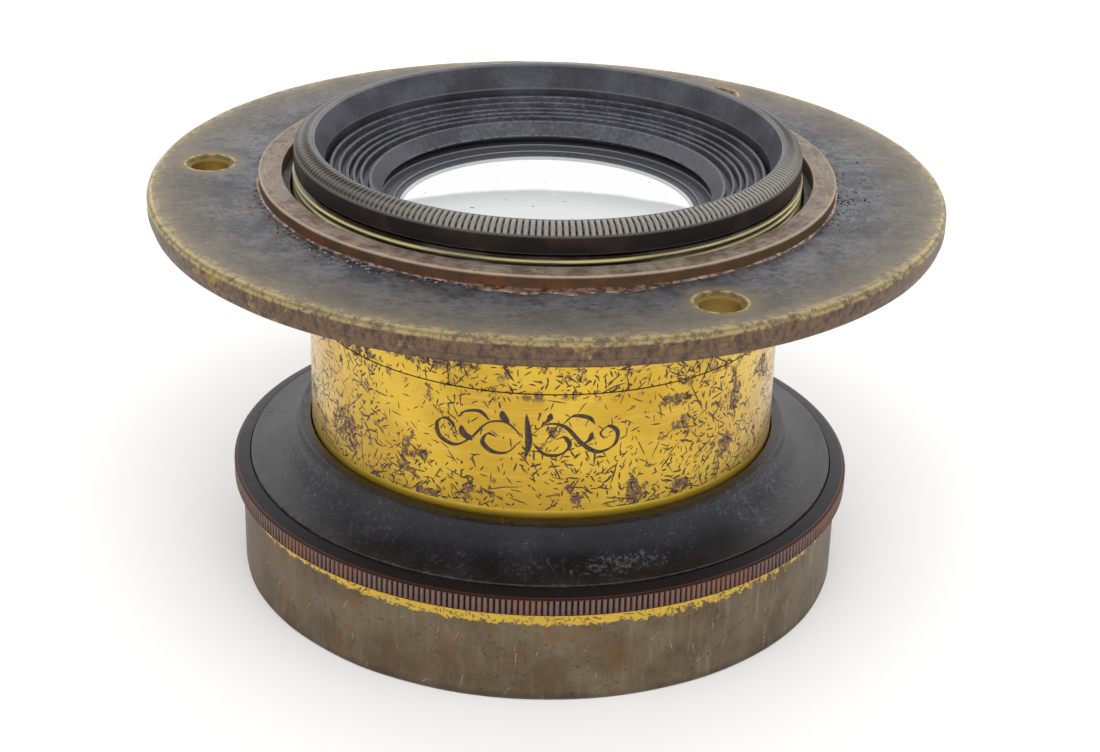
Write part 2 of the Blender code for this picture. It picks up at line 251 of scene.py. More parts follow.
class Shade:
    # one material; every node comes from add()
    def __init__(self, name):
        self.material = bpy.data.materials.new(name)
        self.material.use_nodes = True
        self.tree = self.material.node_tree
        self.tree.nodes.clear()
        spot = self.add("ShaderNodeTexCoord", output="Object")
        self.spot = self.vector("SCALE", spot, scale=1 / mm)
        split = self.add("ShaderNodeSeparateXYZ", inputs={0: self.spot})
        self.x, self.y, self.z = split, split.other("Y"), split.other("Z")
        self.radius = (self.x * self.x + self.y * self.y).root()
        self.angle = split.math("ARCTAN2", self.x, 0.0 - self.y)      # 0 at the front, + to the right
        self.east = self.x / self.radius                              # 1 at the right, -1 at the left
        self.north = self.y / self.radius                             # 1 at the back, -1 at the front

    def add(self, kind, settings=None, inputs=None, output=0):
        node = self.tree.nodes.new(kind)
        for key, value in (settings or {}).items():
            if key == "stops":
                ramp = node.color_ramp
                while len(ramp.elements) < len(value):
                    ramp.elements.new(0.5)
                for stop, (position, colour) in zip(ramp.elements, value):
                    stop.position = position
                    stop.color = colour
            else:
                setattr(node, key, value)
        for key, value in (inputs or {}).items():
            if isinstance(value, Tap):
                self.tree.links.new(value.socket, node.inputs[key])
            else:
                node.inputs[key].default_value = value
        return Tap(self, node.outputs[output]) if node.outputs else None

    def vector(self, operation, first, second=None, scale=None):
        inputs = {0: first}
        if second is not None:
            inputs[1] = second
        if scale is not None:
            inputs["Scale"] = scale
        return self.add("ShaderNodeVectorMath", {"operation": operation}, inputs)

    def rings(self, turns):
        # a place for noise drawn out round the axis, without a seam
        return self.join(self.radius, self.east * turns, self.north * turns)

    def join(self, x, y, z=0.0):
        return self.add("ShaderNodeCombineXYZ", inputs={0: x, 1: y, 2: z})

    def mark(self, label):
        return self.add("ShaderNodeAttribute", {"attribute_name": label}, output="Fac")

    def fade(self, value, low, high, start=0.0, end=1.0):
        # an S from start to end while value goes from low to high
        settings = {"interpolation_type": "SMOOTHSTEP"}
        inputs = {0: value, 1: low, 2: high, 3: start, 4: end}
        return self.add("ShaderNodeMapRange", settings, inputs)

    def cloud(self, size, detail=3.0, rough=0.55, stretch=(1, 1, 1), shift=0.0, at=None):
        # soft noise whose blotches are about size millimetres across
        where = self.vector("MULTIPLY", at or self.spot, stretch)
        where = self.vector("ADD", where, (shift, shift * 0.7, shift * 1.3))
        inputs = {"Vector": where, "Scale": 1 / size, "Detail": detail, "Roughness": rough}
        return self.add("ShaderNodeTexNoise", inputs=inputs)

    def tint(self, mask, low, high):
        # low where the mask is 0, high where it is 1
        return self.add("ShaderNodeMix", {"data_type": "RGBA"}, {0: mask, 6: low, 7: high}, 2)

    def bump(self, height, depth):
        # depth in millimetres for a height of 1
        inputs = {"Height": height, "Distance": depth * mm, "Strength": 1.0}
        return self.add("ShaderNodeBump", inputs=inputs)

    def strokes(self, cell, reach, width, chance, shift=0.0, lean=0.0, bend=0.0):
        # Short scratches: each cell of a net on the unrolled wall holds one stroke with its own
        # slant, length and width. A point is on it when it is near the stroke's line and between
        # its ends. lean turns them all about one way, and bend bows them, in millimetres.
        wall, height = self.angle * self.radius + shift, self.z + shift * 0.37
        if bend:
            wave = self.cloud(cell * 0.8, 1.0, shift=shift)
            wall, height = wall + wave * bend, height - wave * bend * 0.7
        where = self.join(wall, height)
        net = self.add("ShaderNodeTexVoronoi", {"voronoi_dimensions": "2D"},
                       {"Vector": where, "Scale": 1 / cell}, "Position")
        across = self.add("ShaderNodeSeparateXYZ", inputs={0: self.vector("SUBTRACT", where, net)})
        up = across.other("Y")
        dice = self.add("ShaderNodeSeparateColor", inputs={0: net.other("Color")})
        slant = dice * (2 * pi) if not lean else (dice - 0.5) * 1.5 + lean
        along = across * slant.cosine() + up * slant.sine()
        beside = abs(up * slant.cosine() - across * slant.sine())
        half = reach * (0.35 + 0.65 * dice.other("Green"))
        taper = 1.0 - (along / half) ** 2.0
        thick = (taper * (dice.other("Blue") * 0.7 + 0.5)).larger(0.001) * width
        line = self.fade(beside / thick, 1.1, 0.55)
        chosen = self.fade(chance - dice.other("Blue"), 0.0, 0.03)
        return line * chosen

    def finish(self, **sockets):
        # named sockets of the one Principled shader; underscores stand for spaces
        inputs = {key.replace("_", " "): value for key, value in sockets.items()}
        surface = self.add("ShaderNodeBsdfPrincipled", inputs=inputs)
        return self.close(surface)

    def close(self, surface):
        self.add("ShaderNodeOutputMaterial", inputs={"Surface": surface})
        return self.material


# each scratch size: net cell, half length, width, how often, shift of the net, bend
# each stain: turn from the front in radians, height over the scribed line, half width, half height
lacquerLook = {"gold": paint(216, 176, 52), "deep": paint(194, 152, 34), "pale": paint(236, 204, 112),
               "bare": paint(112, 84, 76), "scratch": paint(50, 34, 22), "clean": paint(255, 212, 76),
               "scratches": [(1.05, 0.52, 0.13, 1.0, 0.0, 0.0), (1.4, 0.85, 0.135, 1.0, 13.7, 0.0),
                             (1.9, 1.1, 0.135, 1.0, 27.9, 0.4), (2.7, 1.6, 0.145, 0.9, 41.1, 0.6),
                             (5.2, 3.0, 0.13, 0.8, 77.3, 0.9)],
               "stains": [(0.90, -4.6, 1.2, 3.0), (0.39, -13.7, 1.4, 2.0), (0.60, -14.4, 1.6, 1.0),
                          (-0.92, -10.6, 2.2, 2.4), (-0.83, 0.4, 3.2, 0.9), (-0.46, 2.6, 4.2, 1.0),
                          (-0.46, -14.9, 1.7, 0.8), (0.56, -2.4, 2.2, 0.7), (0.85, -11.0, 1.2, 1.6)]}


def lacqueredBrass(name, cleanBelow):
    # Golden lacquer over turned brass, with crowded short scratches and bare purple-brown spots, which also
    # crowd up under the flange as painted shade.
    # Below cleanBelow it was always covered, so it is bright and has none of them.
    look = lacquerLook
    shade = Shade(name)
    turning = shade.cloud(0.4, 3, 0.6, stretch=(0.02, 0.02, 1))
    gold = shade.tint(shade.fade(shade.cloud(11), 0.35, 0.65), look["deep"], look["gold"])
    gold = shade.tint(shade.fade(turning, 0.45, 0.8) * 0.35, gold, look["pale"])
    side = shade.fade(abs(shade.angle), 0.1, 1.3)
    crowd = shade.cloud(6, 2, shift=31) + side * 0.15 - (shade.z - cleanBelow) * 0.012 + 0.04
    crowd = crowd + shade.east * 0.03
    busy = shade.fade(crowd, 0.36, 0.58, 0.24, 1.0)
    lines = reduce(Tap.larger, [
        shade.strokes(cell, reach, width, busy * often, shift, bend=bend)
        for cell, reach, width, often, shift, bend in look["scratches"]])
    stainsAndShade = shade.fade(shade.cloud(4.2, 6, 0.7, shift=57) + side * 0.024, 0.605, 0.63)
    seamAndFlangeShade = shade.fade(abs(shade.z - rearJoint + 0.2), 1.5, 0.1)
    # partly painted shade: from just over the scribed line up to the flange the bare stains thicken,
    # darkening the band in the flange's shadow; partly real smears
    seamAndFlangeShade = seamAndFlangeShade.larger(shade.fade(shade.z, rearJoint + 0.6, rearJoint + 2.4))
    stainsAndShade = stainsAndShade.larger(seamAndFlangeShade * shade.fade(shade.cloud(2.6, 6, 0.72, shift=71) + seamAndFlangeShade * 0.03, 0.56, 0.60))
    rise = shade.z - rearJoint
    near = reduce(Tap.smaller, [
        ((shade.angle - turn) * (barrelRadius / width)) ** 2.0 + ((rise - height) / tall) ** 2.0
        for turn, height, width, tall in look["stains"]])
    stainsAndShade = stainsAndShade.larger(shade.fade(shade.cloud(1.1, 6, 0.74, shift=83) - near * 0.10, 0.41, 0.45))
    stainsAndShade = stainsAndShade * shade.fade(shade.cloud(0.35, 2, shift=5), 0.36, 0.46, 0.35, 1.0)
    used = shade.fade(shade.z, cleanBelow - 0.1, cleanBelow + 0.2)
    lines = lines * used
    stainsAndShade = stainsAndShade * used
    gold = shade.tint((1.0 - used) * 0.6, gold, look["clean"])
    colour = shade.tint(stainsAndShade * 0.92, gold, look["bare"])
    colour = shade.tint(lines * 0.95, colour, look["scratch"])
    rough = 0.30 + 0.22 * stainsAndShade + 0.12 * turning + 0.2 * lines
    height = turning * 0.12 - lines * 0.7 - stainsAndShade * 0.35
    return shade.finish(
        Base_Color=colour, Metallic=0.92 - stainsAndShade * 0.4 - lines * 0.5, Roughness=rough,
        Coat_Weight=0.5 - stainsAndShade * 0.45, Coat_Roughness=0.22, Normal=shade.bump(height, 0.06))


drumLook = {"olive": paint(118, 106, 86), "brown": paint(98, 82, 64), "grey": paint(172, 166, 156),
            "gold": paint(206, 170, 62), "dark": paint(62, 52, 46), "rust": paint(120, 88, 58)}


def patinatedBrass(drumTop):
    # olive-brown hood with upright rub marks and a ragged strip of lacquer under the rim
    look = drumLook
    shade = Shade("patinatedBrass")
    streak = shade.cloud(0.9, 6, 0.66, stretch=(1, 1, 0.14))
    mottle = shade.cloud(7, 6, 0.62, shift=12)
    grain = shade.cloud(0.5, 4, 0.7, shift=23)
    right = shade.fade(shade.east, 0.1, 0.9)
    colour = shade.tint(shade.fade(mottle, 0.35, 0.65), look["brown"], look["olive"])
    colour = shade.tint(shade.fade(streak, 0.50, 0.72) * (0.10 + 0.22 * right), colour, look["grey"])
    colour = shade.tint(shade.fade(streak, 0.46, 0.30) * 0.22, colour, look["dark"])
    colour = shade.tint(shade.fade(grain, 0.45, 0.3) * 0.25, colour, look["dark"])
    stain = shade.fade(shade.cloud(3.2, 6, 0.66, shift=44) - 0.05 * right, 0.50, 0.62)
    colour = shade.tint(stain * (0.5 - 0.35 * right), colour, look["rust"])
    specks = shade.fade(shade.cloud(0.7, 3, 0.6, shift=5), 0.60, 0.70)
    colour = shade.tint(specks * 0.55, colour, look["dark"])
    scuffs = shade.strokes(3.1, 1.3, 0.10, 0.30 + 0.3 * right, 51.0, lean=1.2)
    scuffs = scuffs * shade.fade(grain, 0.40, 0.55)
    colour = shade.tint(scuffs * 0.7, colour, look["grey"])
    broken = shade.fade(shade.east, 0.15, 0.72)
    ragged = (shade.cloud(1.1, 6, 0.76, shift=3) - 0.5) * (3.2 + 4.0 * broken)
    ragged = ragged + (shade.cloud(14, 1, shift=9) - 0.5) * 1.2
    ragged = ragged + shade.fade(abs(shade.east), 0.2, 0.96) * 0.35
    ragged = ragged + shade.fade(shade.north + shade.east * 0.25, -0.15, 0.4) * 4.0
    strip = shade.fade(shade.z - ragged, drumTop - 1.92, drumTop - 1.8)
    lines = shade.strokes(0.9, 0.5, 0.13, 0.9, 5.0).larger(shade.strokes(1.7, 1.0, 0.13, 0.7, 61.0, bend=0.4))
    lines = lines.larger(shade.fade(grain + broken * 0.04, 0.60, 0.64))
    lines = lines * shade.fade(shade.z, drumTop - 0.5, drumTop - 1.0, 0.35, 1.0)
    strip = strip * (1.0 - lines * 0.95)
    colour = shade.tint(strip, colour, look["gold"])
    colour = shade.tint(shade.mark("wear") * 0.35, colour, look["grey"])
    colour = shade.tint(shade.fade(shade.z + mottle * 2.0, 2.4, 0.9) * 0.5, colour, look["dark"])
    rough = 0.46 - 0.14 * strip + 0.16 * mottle
    height = streak * 0.5 + mottle * 0.4 + strip * 0.5 - specks * 0.4 + grain * 0.3
    return shade.finish(
        Base_Color=colour, Metallic=0.72 + strip * 0.2, Roughness=rough,
        Coat_Weight=strip * 0.4, Coat_Roughness=0.25, Normal=shade.bump(height, 0.05))


flangeLook = {"slate": paint(118, 118, 122), "dusk": paint(80, 81, 87), "umber": paint(116, 96, 76),
              "tan": paint(136, 121, 96), "edge": paint(198, 178, 124), "gold": paint(160, 130, 62),
              "mauve": paint(94, 77, 68), "khaki": paint(138, 122, 88), "bore": paint(150, 124, 66),
              "hole": paint(104, 88, 58), "rust": paint(128, 88, 58), "soot": paint(38, 40, 45),
              "olive": paint(118, 108, 88), "silver": paint(150, 149, 148)}


def mottledBrass(plateTop, plateRadius, holes, holeRadius, mouthRadius):
    # Slate-grey plate with fine turning marks, tan towards the border and khaki round the screw
    # holes. Its edge is a mauve wall with gold flecks and a pale rubbed corner.
    look = flangeLook
    shade = Shade("mottledBrass")
    lathe = shade.cloud(0.3, 5, 0.7, at=shade.rings(4.0))
    mottle = shade.cloud(5, 7, 0.68)
    fine = shade.cloud(0.9, 7, 0.78, shift=8)
    colour = shade.tint(shade.fade(mottle + (fine - 0.5) * 0.4, 0.36, 0.64), look["dusk"], look["slate"])
    colour = shade.tint(shade.fade(shade.cloud(3, 6, 0.7, shift=21), 0.50, 0.68) * 0.6, colour, look["umber"])
    colour = shade.tint(shade.fade(lathe + (mottle - 0.5) * 0.4, 0.54, 0.68) * 0.42, colour, look["silver"])
    colour = shade.tint(shade.fade(lathe, 0.43, 0.30) * 0.45, colour, look["soot"])
    colour = shade.tint(shade.fade(fine, 0.49, 0.34) * 0.7, colour, look["soot"])
    colour = shade.tint(shade.fade(fine, 0.56, 0.70) * 0.4, colour, look["silver"])
    # painted shade: the front of the plate is darkened, standing in for the dark room it reflects
    colour = shade.tint(shade.fade(shade.north, -0.6, -1.0) * 0.25, colour, look["soot"])
    colour = shade.tint(shade.fade(shade.cloud(9, 4, 0.6, shift=41), 0.50, 0.62) * 0.35, colour, look["soot"])
    rusty = shade.fade(shade.cloud(1.5, 5, 0.7, shift=61), 0.62, 0.69)
    colour = shade.tint(rusty * 0.75, colour, look["rust"])
    nicks = shade.fade(shade.cloud(0.3, 2, shift=14), 0.72, 0.76)
    colour = shade.tint(nicks * 0.7, colour, look["silver"])
    ragged = (mottle - 0.5) * 5.0 + (fine - 0.5) * 5.0 + (lathe - 0.5) * 2.0
    warm = shade.fade(shade.radius + ragged, plateRadius - 11.0, plateRadius - 2.5)
    colour = shade.tint(warm * 0.55, colour, look["olive"])
    border = shade.fade(shade.radius + ragged, plateRadius - 4.2, plateRadius + 0.4)
    colour = shade.tint(border * 0.75, colour, look["tan"])
    chips = shade.fade(shade.radius + ragged * 0.4, plateRadius - 1.9, plateRadius - 0.7)
    colour = shade.tint(chips * shade.fade(fine, 0.42, 0.62) * 0.45, colour, look["edge"])
    edge = shade.mark("wear") * shade.fade(shade.z, plateTop - 1.2, plateTop - 0.5)
    low = shade.fade(shade.z, plateTop - 0.35, plateTop - 0.7)
    side = low * shade.fade(shade.radius, plateRadius - 0.9, plateRadius - 0.6)
    band = shade.cloud(0.9, 6, 0.74, stretch=(1, 1, 0.65), shift=33)
    broad = shade.cloud(7, 3, shift=34) - shade.fade(shade.east, -0.78, 0.1) * 0.16
    wall = shade.tint(shade.fade(band, 0.40, 0.60), look["mauve"], look["umber"])
    wall = shade.tint(shade.fade(band, 0.46, 0.36) * 0.4, wall, look["soot"])
    flecks = shade.fade(band + (broad - 0.5) * 0.9 + (shade.z - plateTop + 1.6) * 0.03, 0.53, 0.61)
    wall = shade.tint(flecks * 0.75, wall, look["gold"])
    colour = shade.tint(side, colour, wall)
    edge = edge * shade.fade(fine + (broad - 0.5) * 0.3, 0.36, 0.52)
    colour = shade.tint(edge * 0.85, colour, look["edge"])
    flat = shade.join(shade.x, shade.y)
    near = reduce(Tap.smaller, [
        shade.vector("DISTANCE", flat, (x, y, 0)).other("Value") for x, y in holes])
    ring = shade.fade(near + (fine - 0.5) * 3.0, mouthRadius + 2.2, mouthRadius + 0.4) * 0.55
    mouth = shade.fade(near + (fine - 0.5) * 0.4, mouthRadius + 0.35, mouthRadius + 0.1)
    bore = shade.fade(near, holeRadius + 0.35, holeRadius + 0.1)
    slope = shade.tint(shade.fade(fine, 0.4, 0.6), look["hole"], look["khaki"])
    colour = shade.tint(ring, colour, look["khaki"])
    colour = shade.tint(mouth, colour, slope)
    colour = shade.tint(bore, colour, look["bore"])
    crest = shade.fade(abs(near - mouthRadius - 0.1), 0.3, 0.05) * shade.fade(fine, 0.4, 0.55)
    colour = shade.tint(crest * 0.8, colour, look["edge"])
    rough = 0.38 + 0.22 * mottle + 0.16 * fine - 0.12 * border
    height = lathe * 0.6 + mottle * 0.4 + fine * 1.1
    return shade.finish(
        Base_Color=colour, Metallic=0.72 + 0.15 * border, Roughness=rough,
        Normal=shade.bump(height, 0.06))


collarLook = {"top": paint(138, 124, 112), "tan": paint(102, 84, 72), "side": paint(108, 86, 72),
              "orange": paint(140, 96, 66), "olive": paint(112, 98, 66), "pale": paint(196, 176, 152),
              "dark": paint(60, 48, 42)}


def copperyBrass(collarTop):
    # brazed collar: pinkish-tan on top, copper-brown outside
    look = collarLook
    shade = Shade("copperyBrass")
    mottle = shade.cloud(3.5, 6, 0.65)
    fine = shade.cloud(0.7, 5, 0.65, shift=4)
    side = shade.tint(shade.fade(mottle, 0.4, 0.62), look["side"], look["orange"])
    side = shade.tint(shade.fade(shade.x, 0.0, 30.0) * 0.7, side, look["olive"])
    top = shade.tint(shade.fade(mottle + (fine - 0.5) * 0.5, 0.36, 0.6), look["tan"], look["top"])
    lathe = shade.cloud(0.3, 4, 0.65, at=shade.rings(4.0))
    top = shade.tint(shade.fade(lathe, 0.5, 0.7) * 0.35, top, look["pale"])
    onTop = shade.fade(shade.z, collarTop - 0.35, collarTop - 0.1)
    colour = shade.tint(onTop, side, top)
    colour = shade.tint(shade.mark("wear") * 0.6, colour, look["pale"])
    colour = shade.tint(shade.fade(fine, 0.6, 0.75) * 0.5, colour, look["dark"])
    return shade.finish(
        Base_Color=colour, Metallic=0.7 - 0.35 * onTop, Roughness=0.38 + 0.25 * mottle + 0.1 * onTop,
        Normal=shade.bump(mottle * 0.5 + fine * 0.5, 0.06))


rimLook = {"crest": paint(118, 98, 91), "valley": paint(52, 36, 34), "copper": paint(138, 84, 64),
           "cap": paint(44, 42, 46)}


def milledBrass(rimTop):
    # milled edge: grey-mauve crests, dark valleys and rubbed coppery corners
    look = rimLook
    shade = Shade("milledBrass")
    fine = shade.cloud(0.8, 5, 0.65)
    mottle = shade.cloud(5, 4, shift=6)
    crest = shade.mark("crest")
    teeth = shade.tint(shade.fade(crest + fine * 0.6 - 0.3, 0.25, 0.95), look["valley"], look["crest"])
    teeth = shade.tint(shade.fade(mottle, 0.45, 0.65) * crest * 0.6, teeth, look["copper"])
    cap = shade.fade(shade.z, rimTop - 0.62, rimTop - 0.42)
    colour = shade.tint(cap, teeth, look["cap"])
    corner = shade.mark("wear") * shade.fade(shade.radius, rimRadius - 1.5, rimRadius - 0.7)
    colour = shade.tint(corner * 0.5, colour, look["copper"])
    return shade.finish(
        Base_Color=colour, Metallic=0.65, Roughness=0.42 + 0.2 * fine,
        Normal=shade.bump(fine, 0.03))


blackLook = {"black": paint(20, 20, 25), "soot": paint(37, 37, 44), "dust": paint(126, 126, 128),
             "veil": paint(56, 56, 63), "haze": paint(72, 72, 80),
             "rub": paint(112, 84, 66), "steel": paint(150, 152, 156)}


def blackLacquer(name, dusty=0.5, rubbed=0.6, rubColour="rub", tones=("black", "soot"), scuff=None):
    # satin black with dust lying on it, the pale powder thicker at the sides and back as a painted sheen too,
    # and the metal showing along rubbed corners
    look = blackLook
    shade = Shade(name)
    broad = shade.cloud(8, 4)
    fine = shade.cloud(0.6, 5, 0.7, shift=7)
    side = shade.fade(abs(shade.angle), 0.5, 1.3)
    colour = shade.tint(shade.fade(broad + (fine - 0.5) * 0.4, 0.35, 0.65), look[tones[0]], look[tones[1]])
    # partly painted sheen: the pale powder grows towards the sides and the back, away from the front; partly
    # real dust
    dustAndSheen = shade.fade(fine + broad * 0.5 + side * 0.10, 0.82, 1.02)
    specks = shade.fade(shade.cloud(0.35, 1, shift=18), 0.74, 0.78)
    lines = shade.strokes(4.0, 1.9, 0.04, 0.35, 2.0)
    colour = shade.tint((dustAndSheen * (0.3 + 0.35 * side) + specks * 0.6) * dusty, colour, look["dust"])
    colour = shade.tint(lines * 0.25, colour, look["dust"])
    corners = shade.mark("wear") * shade.fade(fine, 0.38, 0.55) * rubbed
    worn = corners
    if scuff:
        # one pale rubbed patch, broken up by the fine noise: angle, radius and half sizes
        angle, radius, width, height = scuff
        away = ((shade.angle - angle) / width) ** 2.0 + ((shade.radius - radius) / height) ** 2.0
        patch = shade.fade(fine - away * 0.13, 0.46, 0.56)
        worn = worn.larger(patch * 0.5)
        colour = shade.tint(patch * 0.42, colour, look["dust"])
    colour = shade.tint(corners, colour, look[rubColour])
    rough = 0.36 + 0.14 * broad + 0.25 * dustAndSheen
    return shade.finish(
        Base_Color=colour, Metallic=worn * 0.7, Roughness=rough,
        Normal=shade.bump(fine * 0.7 + broad * 0.3 - lines * 0.4, 0.035))


retainerLook = {"black": paint(46, 46, 51), "haze": paint(84, 84, 90), "edge": paint(150, 152, 156),
                "lip": paint(206, 207, 211)}


def retainerBlack(name, lipRadius):
    # black ring whose thin inner lip is rubbed to bare pale metal
    look = retainerLook
    shade = Shade(name)
    fine = shade.cloud(0.7, 5, 0.65)
    colour = shade.tint(fine, look["black"], look["haze"])
    colour = shade.tint(shade.mark("wear") * 0.85, colour, look["edge"])
    lip = shade.fade(shade.radius, lipRadius + 0.06, lipRadius - 0.06)
    colour = shade.tint(lip, colour, look["lip"])
    return shade.finish(Base_Color=colour, Metallic=lip * 0.6, Roughness=0.34 + 0.15 * fine,
                        Normal=shade.bump(fine, 0.02))


knurlLook = {"crest": paint(160, 155, 146), "valley": paint(54, 50, 48), "side": paint(26, 21, 23),
             "brown": paint(58, 40, 34), "black": paint(56, 56, 63), "haze": paint(84, 84, 92),
             "dull": paint(80, 72, 66), "edge": paint(150, 148, 142)}


def milledBlack(coneCrest):
    # rear ring: pale rubbed milling, dark brown band outside, satin black cone inside
    look = knurlLook
    shade = Shade("milledBlack")
    fine = shade.cloud(0.6, 5, 0.7)
    broad = shade.cloud(6, 4, shift=9)
    band = shade.tint(shade.fade(broad, 0.45, 0.68), look["side"], look["brown"])
    inside = shade.tint(shade.fade(fine * 0.5 + broad, 0.55, 1.0), look["black"], look["haze"])
    inside = shade.tint(shade.fade(shade.cloud(0.3, 1, shift=18), 0.755, 0.79) * 0.8, inside, look["edge"])
    colour = shade.tint(shade.fade(shade.radius, coneCrest - 0.1, coneCrest + 0.1), inside, band)
    rubbed = shade.tint(shade.fade(shade.y - 0.45 * shade.x, -28.0, -8.0), look["crest"], look["dull"])
    teeth = shade.fade(shade.mark("crest") + fine * 0.5 - 0.25, 0.25, 0.9)
    milling = shade.tint(teeth, look["valley"], rubbed)
    colour = shade.tint(shade.mark("milled"), colour, milling)
    colour = shade.tint(shade.mark("wear") * 0.35, colour, look["edge"])
    return shade.finish(
        Base_Color=colour, Metallic=0.25 + 0.45 * shade.mark("milled"), Roughness=0.36 + 0.2 * fine,
        Normal=shade.bump(fine * 0.5 + broad * 0.3, 0.03))


# crest is a painted highlight on the thread and valley is painted shade in its roots
threadLook = {"crest": paint(226, 212, 152), "valley": paint(70, 60, 44), "grey": paint(150, 144, 130)}


def threadedBrass(name):
    # bare brass thread: pale crests as a painted highlight and dark roots as painted shade
    look = threadLook
    shade = Shade(name)
    fine = shade.cloud(0.9, 5, 0.65)
    # painted highlight on the crests and painted shade in the roots
    colour = shade.tint(shade.fade(shade.mark("crest"), 0.25, 0.9), look["valley"], look["crest"])
    colour = shade.tint(shade.fade(shade.cloud(9, 3, shift=2), 0.42, 0.6) * 0.5, colour, look["grey"])
    return shade.finish(
        Base_Color=colour, Metallic=0.85, Roughness=0.36 + 0.2 * fine,
        Normal=shade.bump(fine, 0.03))


# white, near, far and the mottled grey are the painted reflection that the glass glows with; under is its
# dark base
glassLook = {"crown": paint(246, 250, 248), "flint": paint(240, 246, 240), "white": paint(255, 255, 255),
             "near": paint(228, 229, 229), "far": paint(200, 202, 201), "glowMottle": paint(238, 239, 239),
             "under": paint(10, 10, 10), "ground": paint(190, 191, 194), "dirt": paint(70, 68, 66)}


def opticalGlass(name, tone, edgeFrom):
    # Clear at a steep look; at a slanting one a painted reflection takes over: the glass glows, grey first
    # and then white, though it is no lamp.
    # From the radius edgeFrom outwards the glass is ground matt.
    look = glassLook
    shade = Shade(name)
    slant = shade.add("ShaderNodeLayerWeight", inputs={"Blend": 0.5}, output="Facing")
    shine = shade.fade(slant, 0.14, 0.46, 0.06, 0.97)
    clear = shade.add("ShaderNodeBsdfPrincipled", inputs={
        "Base Color": look[tone], "Roughness": 0.02, "IOR": 1.5, "Transmission Weight": 1.0})
    # noise that wobbles the painted reflection's edge and its greys
    glowMottle = shade.cloud(3.5, 5, 0.6)
    level = shade.fade(slant + (glowMottle - 0.5) * 0.012, 0.676, 0.690)
    low = shade.tint(shade.fade(slant, 0.60, 0.685), look["near"], look["far"])
    low = shade.tint(shade.fade(glowMottle, 0.55, 0.75) * 0.35, low, look["glowMottle"])
    paintedGlow = shade.tint(level, low, look["white"])
    # painted reflection: an emission that makes the glass glow, though it is no lamp
    paintedGlare = shade.add("ShaderNodeBsdfPrincipled", inputs={
        "Base Color": look["under"], "Roughness": 0.08, "Specular IOR Level": 0.0,
        "Emission Color": paintedGlow, "Emission Strength": 1.0})
    ground = shade.add("ShaderNodeBsdfPrincipled", inputs={"Base Color": look["ground"], "Roughness": 0.6})
    specks = shade.fade(shade.cloud(0.5, 0, shift=3), 0.845, 0.865)
    dirt = shade.add("ShaderNodeBsdfPrincipled", inputs={"Base Color": look["dirt"], "Roughness": 0.7})
    border = shade.fade(shade.radius, edgeFrom - 0.08, edgeFrom + 0.08) * 0.85
    body = shade.add("ShaderNodeMixShader", inputs={0: shine, 1: clear, 2: paintedGlare})
    body = shade.add("ShaderNodeMixShader", inputs={0: border, 1: body, 2: ground})
    body = shade.add("ShaderNodeMixShader", inputs={0: specks, 1: body, 2: dirt})
    return shade.close(body)


smallLooks = {"crust": (paint(44, 45, 47), paint(150, 146, 138)),
              "solder": (paint(88, 74, 66), paint(182, 150, 134)),
              "wax": (paint(52, 36, 30), paint(84, 64, 50))}


def crustMatter():
    # dried flux and dirt, dark with pale crumbs
    shade = Shade("crustMatter")
    colour = shade.tint(shade.fade(shade.cloud(0.6, 2), 0.5, 0.62), *smallLooks["crust"])
    return shade.finish(Base_Color=colour, Metallic=0.4, Roughness=0.4)


def solderMetal():
    # dull copper-stained solder
    shade = Shade("solderMetal")
    fine = shade.cloud(0.8, 4, 0.6)
    colour = shade.tint(shade.fade(fine, 0.4, 0.65), *smallLooks["solder"])
    return shade.finish(Base_Color=colour, Metallic=0.7, Roughness=0.42, Normal=shade.bump(fine, 0.06))


def engravingWax():
    # dark brown wax in the engraved lines
    shade = Shade("engravingWax")
    fine = shade.cloud(0.5, 4, 0.6)
    colour = shade.tint(shade.fade(fine, 0.4, 0.65), *smallLooks["wax"])
    return shade.finish(Base_Color=colour, Roughness=0.5 + 0.2 * fine)


cellRadius, cellFoot, cellTop = span("rear_cell_mount")
baffleRadius, baffleFoot = span("rear_baffle_ring")[:2]
retainerRadius = span("rear_retaining_ring")[0]
glassRadius = span("rear_crown_glass")[0]
glassLedge = glassRadius - 1.4      # bore of the ledge that holds the glass, in both cells
glassSeat = glassRadius + 0.3       # bore round the glass, in both cells

rearRing = {"lipBore": 29.2, "lipCrest": 29.8, "gripHeight": 3.45, "coneBore": 27.95, "coneDepth": 3.1,
            "neck": 30.1, "spigot": 28.6, "teeth": 256, "toothDepth": 0.28, "crispAt": -70, "segments": 1536}


def rearRingRelief(radius, height, angle):
    # rounded teeth pushed into the shoulder: depth times (1 - |cos|) where the milling is
    values = rearRing
    milled = smooth(radius, values["lipCrest"] - 0.25, values["lipCrest"] + 0.1)
    milled = milled * smooth(height, cellTop - 1.35, cellTop - 1.0)
    crest = np.abs(np.cos(values["teeth"] / 2 * angle)) ** 0.8
    worn = 0.30 + 0.70 * smooth(np.cos(angle - radians(values["crispAt"])), -0.35, 0.45)
    worn = worn * (0.88 + 0.12 * wander(angle, 4, 5, 1))
    depth = values["toothDepth"] * milled * worn * (1 - crest)
    return radius - depth * 0.5, height - depth * 0.8, {"crest": crest * milled, "milled": milled}


